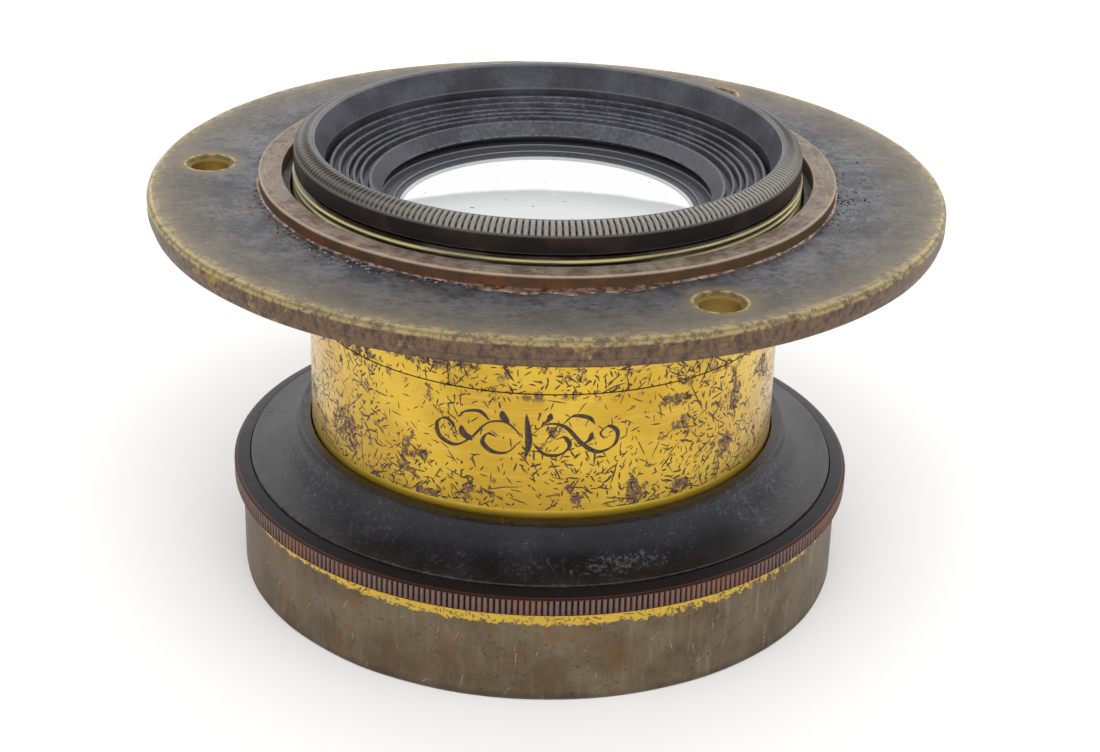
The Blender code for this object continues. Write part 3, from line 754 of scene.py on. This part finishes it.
def rearCell():
    # milled lip with a smooth cone inside it, a neck below and a ledge for the glass
    values = rearRing
    ringFoot = cellTop - values["gripHeight"]
    coneFoot = cellTop - values["coneDepth"]
    ledgeTop = cellFoot + 1.1
    corners = [
        (values["coneBore"], coneFoot, 0.15), (values["lipBore"], cellTop - 0.12, 0.12),
        (values["lipCrest"], cellTop, 0.25), (cellRadius - 0.75, cellTop - 0.35, 0.45),
        (cellRadius, cellTop - 1.1, 0.3), (cellRadius, ringFoot, 0.15),
        (values["neck"], ringFoot, 0), (values["neck"], baffleFoot - 0.2, 0),
        (values["spigot"], baffleFoot - 0.5, 0), (values["spigot"], cellFoot, 0),
        (glassLedge, cellFoot, 0), (glassLedge, ledgeTop, 0), (glassSeat, ledgeTop, 0),
        (glassSeat, baffleFoot - 0.3, 0), (baffleRadius + 0.3, baffleFoot - 0.3, 0),
        (baffleRadius + 0.3, coneFoot - 0.25, 0)]
    turnedPiece("rearCell", corners, "rear_cell", ["rear_cell_mount"],
                milledBlack(values["lipCrest"]), values["segments"], rearRingRelief, 3)


rearBaffle = {"landFoot": 20.8, "landTop": (22.2, 52.25), "finWidth": 0.34, "groove": 1.0, "back": 53.4,
              "crests": [(23.3, 52.55), (24.2, 52.8), (25.0, 53.1), (26.0, 53.6), (27.0, 54.1)]}


def steppedBaffle():
    # light-trap fins: flat-topped rings with deep grooves between them, climbing outwards
    values = rearBaffle
    landRadius, landHeight = values["landTop"]
    corners = [(values["landFoot"], baffleFoot, 0.05), (values["landFoot"], baffleFoot + 0.22, 0.08),
               (landRadius, landHeight, 0.07), (landRadius + values["finWidth"], landHeight + 0.04, 0.06)]
    for radius, height in values["crests"]:
        corners += [
            (corners[-1][0] + 0.05, height - values["groove"], 0.05),
            (radius - 0.06, height - values["groove"], 0.05), (radius, height, 0.06),
            (min(radius + values["finWidth"], baffleRadius - 0.2), height + 0.08, 0.05)]
    corners += [(baffleRadius - 0.1, values["back"], 0.04), (baffleRadius, values["back"], 0.04),
                (baffleRadius, baffleFoot, 0.06)]
    turnedPiece("steppedBaffle", corners, "rear_cell", ["rear_baffle_ring"],
                blackLacquer("matBlack", 0.35, 0.5, "steel", ("veil", "haze")), 256, None, 3)


# each step: distance in from the outside, drop from the face, fillet
retainerValues = {"width": 3.9, "lip": 0.3,
                  "steps": [(3.9, 1.2, 0.05), (3.0, 0.9, 0.06), (3.0, 0.5, 0.08), (2.2, 0.42, 0.05),
                            (2.1, 0.6, 0.05), (1.4, 0.45, 0.05), (1.3, 0.2, 0.07), (0.0, 0.0, 0.06)]}


def retainer(name, node, body, up):
    # Flat turned steps and a thin bright lip; up is 1 for the rear ring and -1 for the front one.
    values = retainerValues
    radius, foot, top = span(node)
    base, face = (foot, top) if up > 0 else (top, foot)
    corners = [(radius - values["width"], base + up * 0.75, 0.05)]
    corners += [(radius - inset, face - up * drop, fillet) for inset, drop, fillet in values["steps"]]
    corners.append((radius, base, 0.1))
    black = retainerBlack(name + "Black", radius - values["width"] + values["lip"])
    turnedPiece(name, corners, body, [node], black, 192, None, 3)


def lens(name, node, body, upperBulge, lowerBulge, material):
    # Two shallow domes joined at the rim: height changes from the axis as bulge (r / R)^2, and
    # a negative bulge is hollow towards the top.
    radius, foot, top = span(node)
    steps = np.linspace(0, 1, 25)
    chamfer = 0.15
    upper = np.stack([steps * (radius - chamfer),
                      top + min(upperBulge, 0) - upperBulge * steps ** 2], axis=1)
    back = steps[::-1]
    lower = np.stack([back * (radius - chamfer),
                      foot + max(lowerBulge, 0) - lowerBulge * back ** 2], axis=1)
    rim = np.array([[radius, upper[-1, 1] - chamfer], [radius, lower[0, 1] + chamfer]])
    profile = np.vstack([upper, rim, lower])
    segments = 128
    angle = np.linspace(0, 2 * pi, segments, endpoint=False)[None, :]
    ring = profile[1:-1]
    grid = np.stack([ring[:, :1] * np.cos(angle), ring[:, :1] * np.sin(angle),
                     np.repeat(ring[:, 1:], segments, axis=1)], axis=-1).reshape(-1, 3)
    poles = np.array([[0, 0, profile[0, 1]], [0, 0, profile[-1, 1]]])
    quads = facesOfGrid(len(ring), segments, False)[:, ::-1]
    near = np.arange(segments)
    far = (near + 1) % segments
    base = (len(ring) - 1) * segments
    count = len(grid)
    caps = np.vstack([np.stack([np.full(segments, count), near, far], axis=1),
                      np.stack([np.full(segments, count + 1), base + far, base + near], axis=1)])
    mesh = bpy.data.meshes.new(name)
    mesh.from_pydata((np.vstack([grid, poles]) * mm).tolist(), [], quads.tolist() + caps.tolist())
    mesh.shade_smooth()
    mesh.set_sharp_from_angle(angle=radians(30))
    place(name, mesh, body, [node], material)


def sag(curvature):
    # how far a spherical face falls from its crown to its edge
    return curvature - (curvature ** 2 - glassRadius ** 2) ** 0.5


# how far each face bulges, from its radius of curvature: outer, cemented and inner
crownBulge, cementBulge, innerBulge = sag(110), sag(150), sag(125)


def rearGroup():
    # the cemented pair under the retainer; only the outer glass shows its ground border
    crown = opticalGlass("crownGlass", "crown", retainerRadius - 0.3)
    flint = opticalGlass("flintGlass", "flint", retainerRadius + 1)
    lens("rearCrown", "rear_crown_glass", "rear_glass", crownBulge, cementBulge, crown)
    lens("rearFlint", "rear_flint_glass", "rear_glass", cementBulge, innerBulge, flint)


rearCell()
steppedBaffle()
retainer("rearRetainer", "rear_retaining_ring", "rear_cell", 1)
rearGroup()
print("rear cell made")


barrelRadius, barrelFoot = span("front_barrel")[:2]
threadRadius, rearBarrelFoot, threadTop = span("rear_barrel")
shoulderRadius, shoulderFoot, shoulderTop = span("flange_seat_ring")
plateRadius, plateFoot, plateTop = span("flange_plate")
collarRadius, collarTop = span("flange_collar")[::2]
neckRadius, neckTop = span("flare_cone")[::2]
drumRadius, drumFoot, drumTop = span("hood_drum")
rimRadius, rimFoot, rimTop = span("milled_rim_ring")

barrelValues = {"wall": 1.3, "jointOverFoot": 5.25, "joint": 0.11, "coveredBand": 1.0, "pitch": 0.85,
                "threadDepth": 0.42, "rowsPerTurn": 9, "threadWall": 1.6, "spigot": 1.6, "stopSeat": 2.9,
                "stopLedge": 4.4}
rearJoint = rearBarrelFoot + barrelValues["jointOverFoot"]      # height of the scribed line


def frontBarrel():
    # plain tube up to the scribed line
    bore = barrelRadius - barrelValues["wall"]
    jointFoot = rearJoint - barrelValues["joint"]
    corners = [(bore, jointFoot, 0.1), (barrelRadius, jointFoot, 0.06),
               (barrelRadius, barrelFoot, 0.15), (bore, barrelFoot, 0.15)]
    brass = lacqueredBrass("lacqueredBrass", neckTop + barrelValues["coveredBand"])
    turnedPiece("frontBarrel", corners, "barrel", ["front_barrel"], brass, 320)


def rearBarrel():
    # Tube below, and above it a thread: the radius falls by threadDepth between turns, and the
    # turns climb one pitch for each time round.
    values = barrelValues
    threadFoot = shoulderTop + 0.1
    rows = np.arange(threadFoot + 0.3, threadTop - 0.2, values["pitch"] / values["rowsPerTurn"])
    threadBore = threadRadius - values["threadWall"]
    bore, spigot, seat, ledge = (
        barrelRadius - values[depth] for depth in ("wall", "spigot", "stopSeat", "stopLedge"))
    ledgeFoot = rearBarrelFoot + 5.7
    corners = [(threadBore, threadTop, 0.1), (threadRadius - 0.3, threadTop, 0.1)]
    corners += [(threadRadius, height, 0) for height in rows[::-1]]
    corners += [
        (threadRadius, threadFoot, 0), (barrelRadius, threadFoot - 0.3, 0.1),
        (barrelRadius, rearJoint, 0.06), (spigot, rearJoint, 0.1), (spigot, rearBarrelFoot, 0.1),
        (seat, rearBarrelFoot, 0.1), (seat, ledgeFoot, 0.1), (ledge, ledgeFoot, 0.1),
        (ledge, rearBarrelFoot + 6.8, 0.1), (bore, rearBarrelFoot + 8.8, 0.1),
        (bore, baffleFoot - 1.1, 0.1), (threadBore, baffleFoot - 0.8, 0.1)]

    def relief(radius, height, angle):
        part = (height / values["pitch"] - angle / (2 * pi)) % 1.0
        crest = np.clip(1.25 - 2.5 * np.abs(part - 0.5), 0, 1)
        outside = smooth(radius, threadRadius - 0.2, threadRadius - 0.05)
        outside = outside * smooth(height, threadFoot, threadFoot + 0.3)
        return radius - values["threadDepth"] * (1 - crest) * outside, height, {"crest": crest * outside}

    brass = lacqueredBrass("lacqueredBrassUpper", rearBarrelFoot)
    mesh = turnedPiece(
        "rearBarrel", corners, "barrel", ["rear_barrel"], brass, 320, relief, 2).data
    mesh.materials.append(threadedBrass("threadedBrass"))
    middles = np.empty(len(mesh.polygons) * 3, dtype=np.float32)
    mesh.polygons.foreach_get("center", middles)
    onThread = (middles.reshape(-1, 3)[:, 2] / mm > threadFoot - 0.15).astype(np.int32)
    mesh.polygons.foreach_set("material_index", onThread)


def shoulder():
    # the ring that the flange screws down against, with a rebate round the thread's foot
    bore = barrelRadius + 0.08
    corners = [(bore, shoulderTop - 0.6, 0.05), (threadRadius + 0.3, shoulderTop - 0.6, 0.05),
               (threadRadius + 0.3, shoulderTop, 0.05), (shoulderRadius, shoulderTop, 0.3),
               (shoulderRadius, shoulderFoot + 0.6, 0.3), (shoulderRadius - 0.6, shoulderFoot, 0.3),
               (bore, shoulderFoot, 0.1)]
    brass = lacqueredBrass("lacqueredBrassShoulder", rearBarrelFoot)
    turnedPiece("flangeShoulder", corners, "barrel", ["flange_seat_ring"], brass)


stopValues = {"hole": 7.0, "ringWidth": 1.6, "segments": 160}


def stopParts():
    # the plate with the small hole, and the ring that holds it
    hole, segments = stopValues["hole"], stopValues["segments"]
    black = blackLacquer("stopBlack", 0.5, 0.6)
    radius, foot, top = span("aperture_stop")
    corners = [(hole, top, 0.05), (radius, top, 0.1), (radius, foot, 0.1), (hole, foot, 0.05)]
    turnedPiece("apertureStop", corners, "stop", ["aperture_stop"], black, segments)
    radius, foot, top = span("stop_retaining_ring")
    bore = radius - stopValues["ringWidth"]
    corners = [(bore, top, 0.1), (radius, top, 0.1), (radius, foot, 0.1), (bore, foot, 0.3)]
    turnedPiece("stopRetainer", corners, "stop", ["stop_retaining_ring"], black, segments)


frontBarrel()
rearBarrel()
shoulder()
stopParts()
print("barrel made")


flangeValues = {"bore": 32.35, "holeRadius": 2.4, "mouthRadius": 3.05, "holeCircle": 43.0,
                "firstHole": 57.0, "holeCount": 3, "segments": 400, "dent": 0.07}
holePlaces = []
for holeNumber in range(flangeValues["holeCount"]):
    turn = radians(flangeValues["firstHole"] + 360 / flangeValues["holeCount"] * holeNumber)
    holePlaces.append((flangeValues["holeCircle"] * cos(turn), flangeValues["holeCircle"] * sin(turn)))


def flangeRelief(radius, height, angle):
    # small dents: the outer edge wobbles in and out, and the top edge up and down
    edge = smooth(radius, plateRadius - 1.2, plateRadius - 0.3)
    upper = smooth(height, plateTop - 1, plateTop - 0.2)
    dent = flangeValues["dent"]
    inward = dent * (1 + wander(angle, 11, 24, 5)) * edge * 0.5
    down = dent * (1 + wander(angle, 12, 30, 7)) * edge * upper * 0.5
    return radius - inward, height - down, {}


def flangePlate():
    # a wide disc with a rebate on both faces, then countersunk holes cut through it
    values = flangeValues
    hole, mouth = values["holeRadius"], values["mouthRadius"]
    corners = [
        (values["bore"], plateTop - 0.3, 0.05), (collarRadius + 0.05, plateTop - 0.3, 0.03),
        (collarRadius + 0.05, plateTop, 0.05), (plateRadius - 0.45, plateTop, 0.3),
        (plateRadius, plateTop - 0.5, 0.3), (plateRadius - 0.03, plateTop - 2.25, 0.1),
        (plateRadius - 0.25, plateTop - 2.4, 0.08), (plateRadius - 0.35, plateFoot + 0.3, 0.2),
        (plateRadius - 0.75, plateFoot, 0.2), (shoulderRadius + 0.3, plateFoot, 0.05),
        (shoulderRadius + 0.3, plateFoot + 0.3, 0.05), (values["bore"], plateFoot + 0.3, 0.05)]
    brass = mottledBrass(plateTop, plateRadius, holePlaces, hole, mouth)
    piece = turnedPiece("flangePlate", corners, "flange", ["flange_plate"], brass,
                        values["segments"], flangeRelief)
    cutters = []
    for x, y in holePlaces:
        cutter = turned("cutter", [
            (0.01, plateTop + 1, 0), (mouth + 1, plateTop + 1, 0), (mouth + 0.1, plateTop + 0.1, 0.15),
            (hole, plateTop - (mouth - hole), 0.15), (hole, plateFoot - 1, 0), (0.01, plateFoot - 1, 0)], 48)
        cutter.transform(Matrix.Translation((x * mm, y * mm, 0)))
        tool = bpy.data.objects.new("cutter", cutter)
        bpy.context.collection.objects.link(tool)
        cut = piece.modifiers.new("screwHole", "BOOLEAN")
        cut.object, cut.operation, cut.solver = tool, "DIFFERENCE", "EXACT"
        cutters.append(tool)
    view = bpy.context.evaluated_depsgraph_get()
    drilled = bpy.data.meshes.new_from_object(piece.evaluated_get(view))
    piece.modifiers.clear()
    piece.data = drilled
    drilled.name = "flangePlate"
    drilled.set_sharp_from_angle(angle=radians(35))
    for tool in cutters:
        bpy.data.objects.remove(tool)


collarValues = {"width": 2.9, "sunk": 0.28, "segments": 360}


def collar():
    # a plain ring whose outside wobbles a little
    values = collarValues
    bore = collarRadius - values["width"]
    foot = plateTop - values["sunk"]
    corners = [(bore, collarTop, 0.2), (collarRadius, collarTop, 0.28), (collarRadius, foot, 0.05),
               (bore, foot, 0.05)]

    def relief(radius, height, angle):
        outer = smooth(radius, collarRadius - 1, collarRadius - 0.1)
        return radius + 0.03 * wander(angle, 21, 16, 3) * outer, height, {}

    turnedPiece("flangeCollar", corners, "collar", ["flange_collar"], copperyBrass(collarTop),
                values["segments"], relief)


def solderBead():
    # a thin bead round the collar's foot whose thickness wanders, with a pool of solder at the front
    corners = [(collarRadius - 0.05, plateTop + 0.3, 0.1), (collarRadius + 0.35, plateTop + 0.02, 0.12),
               (collarRadius + 0.35, plateTop - 0.03, 0), (collarRadius - 0.05, plateTop - 0.03, 0)]

    def relief(radius, height, angle):
        swell = 0.55 + 0.45 * wander(angle, 31, 26, 3)
        outer = smooth(radius, collarRadius, collarRadius + 0.3)
        pool = smooth(np.cos(angle - radians(-87)), 0.93, 0.985) * (1.0 + 0.5 * wander(angle, 33, 40, 12))
        inward = (0.28 * (1 - swell) - 1.1 * pool) * outer
        down = 0.2 * (1 - swell) * (1 - outer) * smooth(height, plateTop, plateTop + 0.2)
        return radius - inward, height - down, {}

    turnedPiece("solderBead", corners, "collar", [], solderMetal(), collarValues["segments"],
                relief)


def pebbles(name, centres, sizes, seed, body, material):
    # Small closed lumps: one ball of three rings of six points and two poles, copied to every
    # centre, each point pushed in or out at random.
    source = np.random.default_rng(seed)
    rows, columns = 3, 6
    lift = np.linspace(-0.7, 0.7, rows)
    around = np.linspace(0, 2 * pi, columns, endpoint=False)
    side = np.sqrt(1 - lift ** 2)
    ball = np.stack([side[:, None] * np.cos(around), side[:, None] * np.sin(around),
                     np.repeat(lift[:, None], columns, axis=1)], axis=-1).reshape(-1, 3)
    ball = np.vstack([ball, [[0, 0, -1]], [[0, 0, 1]]])
    near = np.arange(columns)
    far = (near + 1) % columns
    bottom, top, last = rows * columns, rows * columns + 1, (rows - 1) * columns
    walls = facesOfGrid(rows, columns, False)
    walls = np.vstack([walls[:, [0, 1, 2]], walls[:, [0, 2, 3]]])
    shell = np.vstack([walls, np.stack([np.full(columns, bottom), far, near], axis=1),
                       np.stack([np.full(columns, top), last + near, last + far], axis=1)])
    push = 1 + 0.45 * source.uniform(-1, 1, (len(centres), len(ball), 1))
    vertices = centres[:, None, :] + ball[None] * push * sizes[:, None, :]
    faces = shell[None] + (np.arange(len(centres)) * len(ball))[:, None, None]
    mesh = meshOf(name, vertices.reshape(-1, 3), faces.reshape(-1, 3), None, 25)
    place(name, mesh, body, [], material)


# lumps at the front left, at the right and all round, and how far each lot spreads outwards
crustValues = {"counts": (210, 105, 105), "spreads": (0.9, 2.0, 0.4), "frontLeft": -125, "right": -8,
               "sizes": (0.05, 0.22)}


def crust():
    # old flux and dirt beside the collar, thickest at the front left and at the right
    values = crustValues
    source = np.random.default_rng(7)
    atLeft, atRight, elsewhere = values["counts"]
    count = sum(values["counts"])
    where = np.concatenate([source.normal(radians(values["frontLeft"]), 0.30, atLeft),
                            source.normal(radians(values["right"]), 0.22, atRight),
                            source.uniform(-pi, pi, elsewhere)])
    spread = np.repeat(values["spreads"], values["counts"])
    away = collarRadius + 0.25 + np.abs(source.normal(0, 1.0, count)) * spread
    size = source.uniform(*values["sizes"], (count, 3)) * (1, 1, 0.5)
    centres = np.stack([away * np.cos(where), away * np.sin(where), np.full(count, plateTop + 0.02)], axis=1)
    pebbles("flangeCrust", centres, size, 8, "flange", crustMatter())


flangePlate()
collar()
solderBead()
crust()
print("flange made")


# scuff: the rubbed patch's turn from the front in radians, its radius and its half sizes
flareValues = {"gap": 0.18, "crest": 32.1, "steps": 18, "curveFoot": 2.95, "step": 1.85, "foot": 1.45,
               "scuff": (0.28, 35.3, 0.22, 1.7), "segments": 320}


def flare():
    # Hollow quarter-curve from the neck out to the rim: the radius goes out as 1 - cos of the
    # turn while the height falls as sin.
    values = flareValues
    bore = barrelRadius + values["gap"]
    inner = barrelRadius - barrelValues["wall"]
    crest = values["crest"]
    low = neckRadius - 0.15
    base = rimFoot + values["curveFoot"]
    step, foot = rimFoot + values["step"], rimFoot + values["foot"]
    turn = np.linspace(0, pi / 2, values["steps"])
    curve = np.stack([crest + (low - crest) * (1 - np.cos(turn)),
                      base + (neckTop - 0.22 - base) * (1 - np.sin(turn))], axis=1)
    corners = [(bore, neckTop, 0.12), (crest - 0.25, neckTop, 0.15)]
    corners += [(radius, height, 0) for radius, height in curve]
    corners += [
        (neckRadius, base - 0.1, 0.1), (neckRadius, step, 0.1), (drumRadius - 2.6, step, 0.1),
        (drumRadius - 2.6, foot, 0.1), (inner, foot, 0.1), (inner, barrelFoot - 0.3, 0.1),
        (bore, barrelFoot - 0.3, 0.1)]
    black = blackLacquer("satinBlack", 0.8, 0.45, scuff=values["scuff"])
    turnedPiece("flareNeck", corners, "front_cell", ["flare_cone"], black,
                values["segments"], None, 3)


rimValues = {"teeth": 358, "toothDepth": 0.3, "segments": 2148}


def rim():
    # milled edge: the radius falls between teeth, in a band short of the two corners
    values = rimValues
    bore = neckRadius + 0.12

    def relief(radius, height, angle):
        crest = np.abs(np.cos(values["teeth"] / 2 * angle)) ** 0.7
        band = smooth(height, rimFoot + 0.05, rimFoot + 0.2) * smooth(height, rimTop - 0.5, rimTop - 0.72)
        band = band * smooth(radius, rimRadius - 0.6, rimRadius - 0.2)
        return radius - values["toothDepth"] * (1 - crest) * band, height, {"crest": crest * band}

    corners = [
        (bore, rimTop, 0.08), (neckRadius + 0.7, rimTop - 0.08, 0.1), (rimRadius - 0.35, rimTop - 0.42, 0.1),
        (rimRadius, rimTop - 0.6, 0.08), (rimRadius, rimFoot, 0.1), (bore, rimFoot, 0.1)]
    turnedPiece("milledRim", corners, "front_cell", ["milled_rim_ring"], milledBrass(rimTop),
                values["segments"], relief, 3)


drumValues = {"wall": 1.3, "neck": 2.5, "gap": 0.06, "segments": 320}


def drum():
    # the hood's tube, drawn in at the top and a little out of round at the foot
    values = drumValues
    bore = drumRadius - values["wall"]
    neck = drumRadius - values["neck"]
    top = rimFoot - values["gap"]

    def relief(radius, height, angle):
        return radius - 0.04 * (1 + wander(angle, 41, 20, 3)) * smooth(height, 3, 0), height, {}

    corners = [
        (neck, drumTop, 0.1), (neckRadius, drumTop, 0.1), (neckRadius, top, 0.1), (drumRadius, top, 0.1),
        (drumRadius, drumFoot, 0.3), (bore, drumFoot, 0.3), (bore, rimFoot - 1.2, 0.3),
        (neck, rimFoot - 0.6, 0.2)]
    turnedPiece("hoodDrum", corners, "front_cell", ["hood_drum"], patinatedBrass(top),
                values["segments"], relief)


frontCellValues = {"wall": 1.3, "flangeHeight": 1.0, "ledgeHeight": 1.1}


def frontCell():
    # tube with a thin flange at its foot and a ledge for the glass at its top
    values = frontCellValues
    radius, foot, top = span("front_cell_mount")
    spigot = barrelRadius - barrelValues["spigot"]
    bore = spigot - values["wall"]
    step = span("front_baffle_cone")[2] + 0.3
    flangeTop = foot + values["flangeHeight"]
    ledgeFoot = top - values["ledgeHeight"]
    corners = [
        (glassLedge, top, 0.1), (spigot, top, 0.2), (spigot, flangeTop, 0.1), (radius, flangeTop, 0.1),
        (radius, foot, 0.1), (bore, foot, 0.2), (bore, step, 0.1), (glassSeat, step, 0.1),
        (glassSeat, ledgeFoot, 0.1), (glassLedge, ledgeFoot, 0.1)]
    turnedPiece("frontCell", corners, "front_cell", ["front_cell_mount"],
                blackLacquer("cellBlack", 0.4, 0.5), 256, None, 3)


frontBaffleValues = {"wall": 0.8, "steps": 7, "groove": (0.45, 0.35)}


def frontBaffle():
    # flared tube with turned steps down its bore, each with a groove behind it
    values = frontBaffleValues
    radius, foot, top = span("front_baffle_cone")
    mouth = radius - values["wall"]
    deep, back = values["groove"]
    corners = [(radius, top, 0.1), (radius, foot, 0.1), (mouth, foot, 0.1)]
    for step in range(values["steps"]):
        part = (step + 1) / values["steps"]
        width = mouth + (glassLedge - mouth) * part
        height = foot + (top - foot) * part
        last = step == values["steps"] - 1
        corners.append((width + deep, height - deep, 0.06))
        corners.append((width, height - (0.0 if last else back), 0.06))
    turnedPiece("frontBaffle", corners, "front_cell", ["front_baffle_cone"],
                blackLacquer("baffleBlack", 0.4, 0.6, "steel"), 224, None, 3)


def frontGroup():
    # the same pair the other way up
    crown = opticalGlass("frontCrownGlass", "crown", retainerRadius + 1)
    flint = opticalGlass("frontFlintGlass", "flint", retainerRadius + 1)
    lens("frontCrown", "front_crown_glass", "front_cell", -cementBulge, -crownBulge, crown)
    lens("frontFlint", "front_flint_glass", "front_cell", -innerBulge, -cementBulge, flint)


flare()
rim()
drum()
frontCell()
frontBaffle()
retainer("frontRetainer", "front_retaining_ring", "front_cell", -1)
frontGroup()
print("front cell and hood made")


flourish = {"middle": -3.3, "height": 30.6, "slope": 0.0, "width": 0.62, "proud": 0.02,
            "strokes": [
                [(0.6, 0.4), (2.4, 1.9), (4.6, 1.6), (6.6, -0.6), (8.6, -1.9), (10.6, -1.2), (11.0, 0.5),
                 (9.9, 1.4), (8.9, 0.6), (9.4, -0.3)],
                [(0.8, -0.6), (2.2, -2.0), (4.0, -2.1), (5.2, -1.0), (4.6, 0.2), (3.5, -0.1)],
                [(4.4, 2.0), (5.6, 3.0), (7.4, 2.7), (8.2, 1.8)],
            ],
            "leaves": [[(0.0, -2.6), (0.35, -0.4), (0.0, 3.2)], [(6.4, -1.0), (7.6, -0.2), (7.9, 0.8)],
                       [(2.0, 1.9), (2.7, 2.6), (2.9, 3.4)]]}


def smoothPath(points, steps=14):
    # Catmull-Rom curve through the points, worked out for every span at once
    points = np.array(points, dtype=float)
    ends = np.vstack([2 * points[0] - points[1], points, 2 * points[-1] - points[-2]])
    t = np.linspace(0, 1, steps, endpoint=False)[None, :, None]
    before, here, there, after = (ends[k:len(points) - 1 + k][:, None, :] for k in range(4))
    curve = 0.5 * (2 * here + (there - before) * t
                   + (2 * before - 5 * here + 4 * there - after) * t ** 2
                   + (3 * here - before - 3 * there + after) * t ** 3)
    return np.vstack([curve.reshape(-1, 2), points[-1:]])


def inlay(paths, widths):
    # Each path is a ribbon wrapped on the barrel: four points across (left edge, crown, right
    # edge, underside) carried along it, thin at both ends and thick where it runs downhill.
    vertices, faces, start = [], [], 0
    for path, width in zip(paths, widths):
        along = np.gradient(path, axis=0)
        along /= np.hypot(along[:, 0], along[:, 1])[:, None] + 1e-9
        part = np.linspace(0, 1, len(path))
        pen = 0.35 + 0.65 * np.abs(along @ np.array((0.55, -0.83)))
        half = width * pen * np.sin(pi * part) ** 0.6 / 2 + 0.01
        beside = np.stack([-along[:, 1], along[:, 0]], axis=1) * half[:, None]
        across = np.stack([path + beside, path, path - beside, path], axis=1)
        lift = np.array((0.0, flourish["proud"], 0.0, -0.05))[None, :]
        angle = radians(-90 + flourish["middle"]) + across[:, :, 0] / barrelRadius
        radius = barrelRadius + 0.004 + lift + 0 * angle
        solid = np.stack([radius * np.cos(angle), radius * np.sin(angle),
                          flourish["height"] + across[:, :, 1]], axis=-1)
        vertices.append(solid.reshape(-1, 3))
        quads = facesOfGrid(len(path), 4, False)
        last = (len(path) - 1) * 4
        ends = np.array([[3, 2, 1, 0], [last, last + 1, last + 2, last + 3]])
        faces.append(np.vstack([quads, ends]) + start)
        start += len(path) * 4
    return np.vstack(vertices), np.vstack(faces)


def engraving():
    # the strokes and leaves, each once as drawn and once mirrored; the middle leaf only once
    paths, widths = [], []
    for side in (1, -1):
        for stroke in flourish["strokes"]:
            paths.append(smoothPath([(side * x, y) for x, y in stroke]))
            widths.append(flourish["width"])
        for leaf in flourish["leaves"][0 if side > 0 else 1:]:
            paths.append(smoothPath([(side * x, y) for x, y in leaf]))
            widths.append(flourish["width"] * 1.5)
    vertices, faces = inlay(paths, widths)
    place("barrelFlourish", meshOf("barrelFlourish", vertices, faces, None, 60), "barrel", [],
          engravingWax())


engraving()
print("engraving made")


stageValues = {"floor": 1500.0, "rings": 12, "spokes": 64, "white": paint(251, 251, 250), "world": 0.75}


def floor():
    # a flat disc of rings and spokes under the hood
    rings, spokes = stageValues["rings"], stageValues["spokes"]
    radius = np.linspace(0.001, 1, rings)[:, None] ** 2 * stageValues["floor"]
    angle = np.linspace(0, 2 * pi, spokes, endpoint=False)
    grid = np.stack([radius * np.cos(angle), radius * np.sin(angle),
                     np.full((rings, spokes), cadLow.z / mm)], axis=-1)
    mesh = meshOf("studioFloor", grid.reshape(-1, 3), facesOfGrid(rings, spokes, False)[:, ::-1])
    shade = Shade("studioPaper")
    tooth = shade.bump(shade.cloud(3, 3), 0.01)
    mesh.materials.append(shade.finish(Base_Color=stageValues["white"], Roughness=0.8, Normal=tooth))
    disc = bpy.data.objects.new("studioFloor", mesh)
    bpy.context.collection.objects.link(disc)


def softbox(name, position, aim, size, power, seen=True):
    # a rectangular area light turned to the aim point; metres and watts
    lamp = bpy.data.lights.new(name, "AREA")
    lamp.shape = "RECTANGLE"
    lamp.size, lamp.size_y = size
    lamp.energy = power
    holder = bpy.data.objects.new(name, lamp)
    holder.location = position
    holder.rotation_euler = (Vector(aim) - Vector(position)).to_track_quat("-Z", "Y").to_euler()
    holder.visible_glossy = seen
    bpy.context.collection.objects.link(holder)


def studio():
    # a white world, a softbox behind, and one above the camera that doesn't show in reflections
    world = bpy.data.worlds.new("studioWorld")
    world.use_nodes = True
    sky = world.node_tree.nodes["Background"].inputs
    sky["Color"].default_value = (1, 1, 1, 1)
    sky["Strength"].default_value = stageValues["world"]
    bpy.context.scene.world = world
    centre = (cadLow + cadHigh) / 2
    softbox("backSoftbox", centre + Vector((0.0, 0.55, 0.26)), centre, (1.1, 0.34), 1.3)
    softbox("frontSoftbox", centre + Vector((0.03, -0.42, 0.6)), centre, (0.7, 0.6), 3.5, False)
    bpy.context.scene.view_settings.view_transform = "Standard"


cameraValues = {"aim": (0.001023, 0.0, 0.024603), "distance": 0.29088, "tilt": 25.24, "turn": 0.223,
                "roll": 1.621, "lens": 72.3}


def camera():
    # looks at the aim point from distance metres, tilted down, turned right and rolled
    values = cameraValues
    tilt, turn = radians(values["tilt"]), radians(values["turn"])
    forward = Vector((cos(tilt) * sin(turn), cos(tilt) * cos(turn), -sin(tilt)))
    level = forward.cross(Vector((0, 0, 1))).normalized()
    upright = level.cross(forward)
    roll = radians(values["roll"])
    right = level * cos(roll) + upright * sin(roll)
    up = right.cross(forward)
    eye = Vector(values["aim"]) - forward * values["distance"]
    maker = bpy.data.cameras.new("lensCamera")
    maker.lens = values["lens"]
    maker.sensor_width = 36.0
    maker.sensor_fit = "HORIZONTAL"
    maker.clip_start = 0.01
    holder = bpy.data.objects.new("lensCamera", maker)
    holder.matrix_world = Matrix.Translation(eye) @ Matrix((right, up, -forward)).transposed().to_4x4()
    bpy.context.collection.objects.link(holder)
    bpy.context.scene.camera = holder


floor()
studio()
camera()
print("stage set")
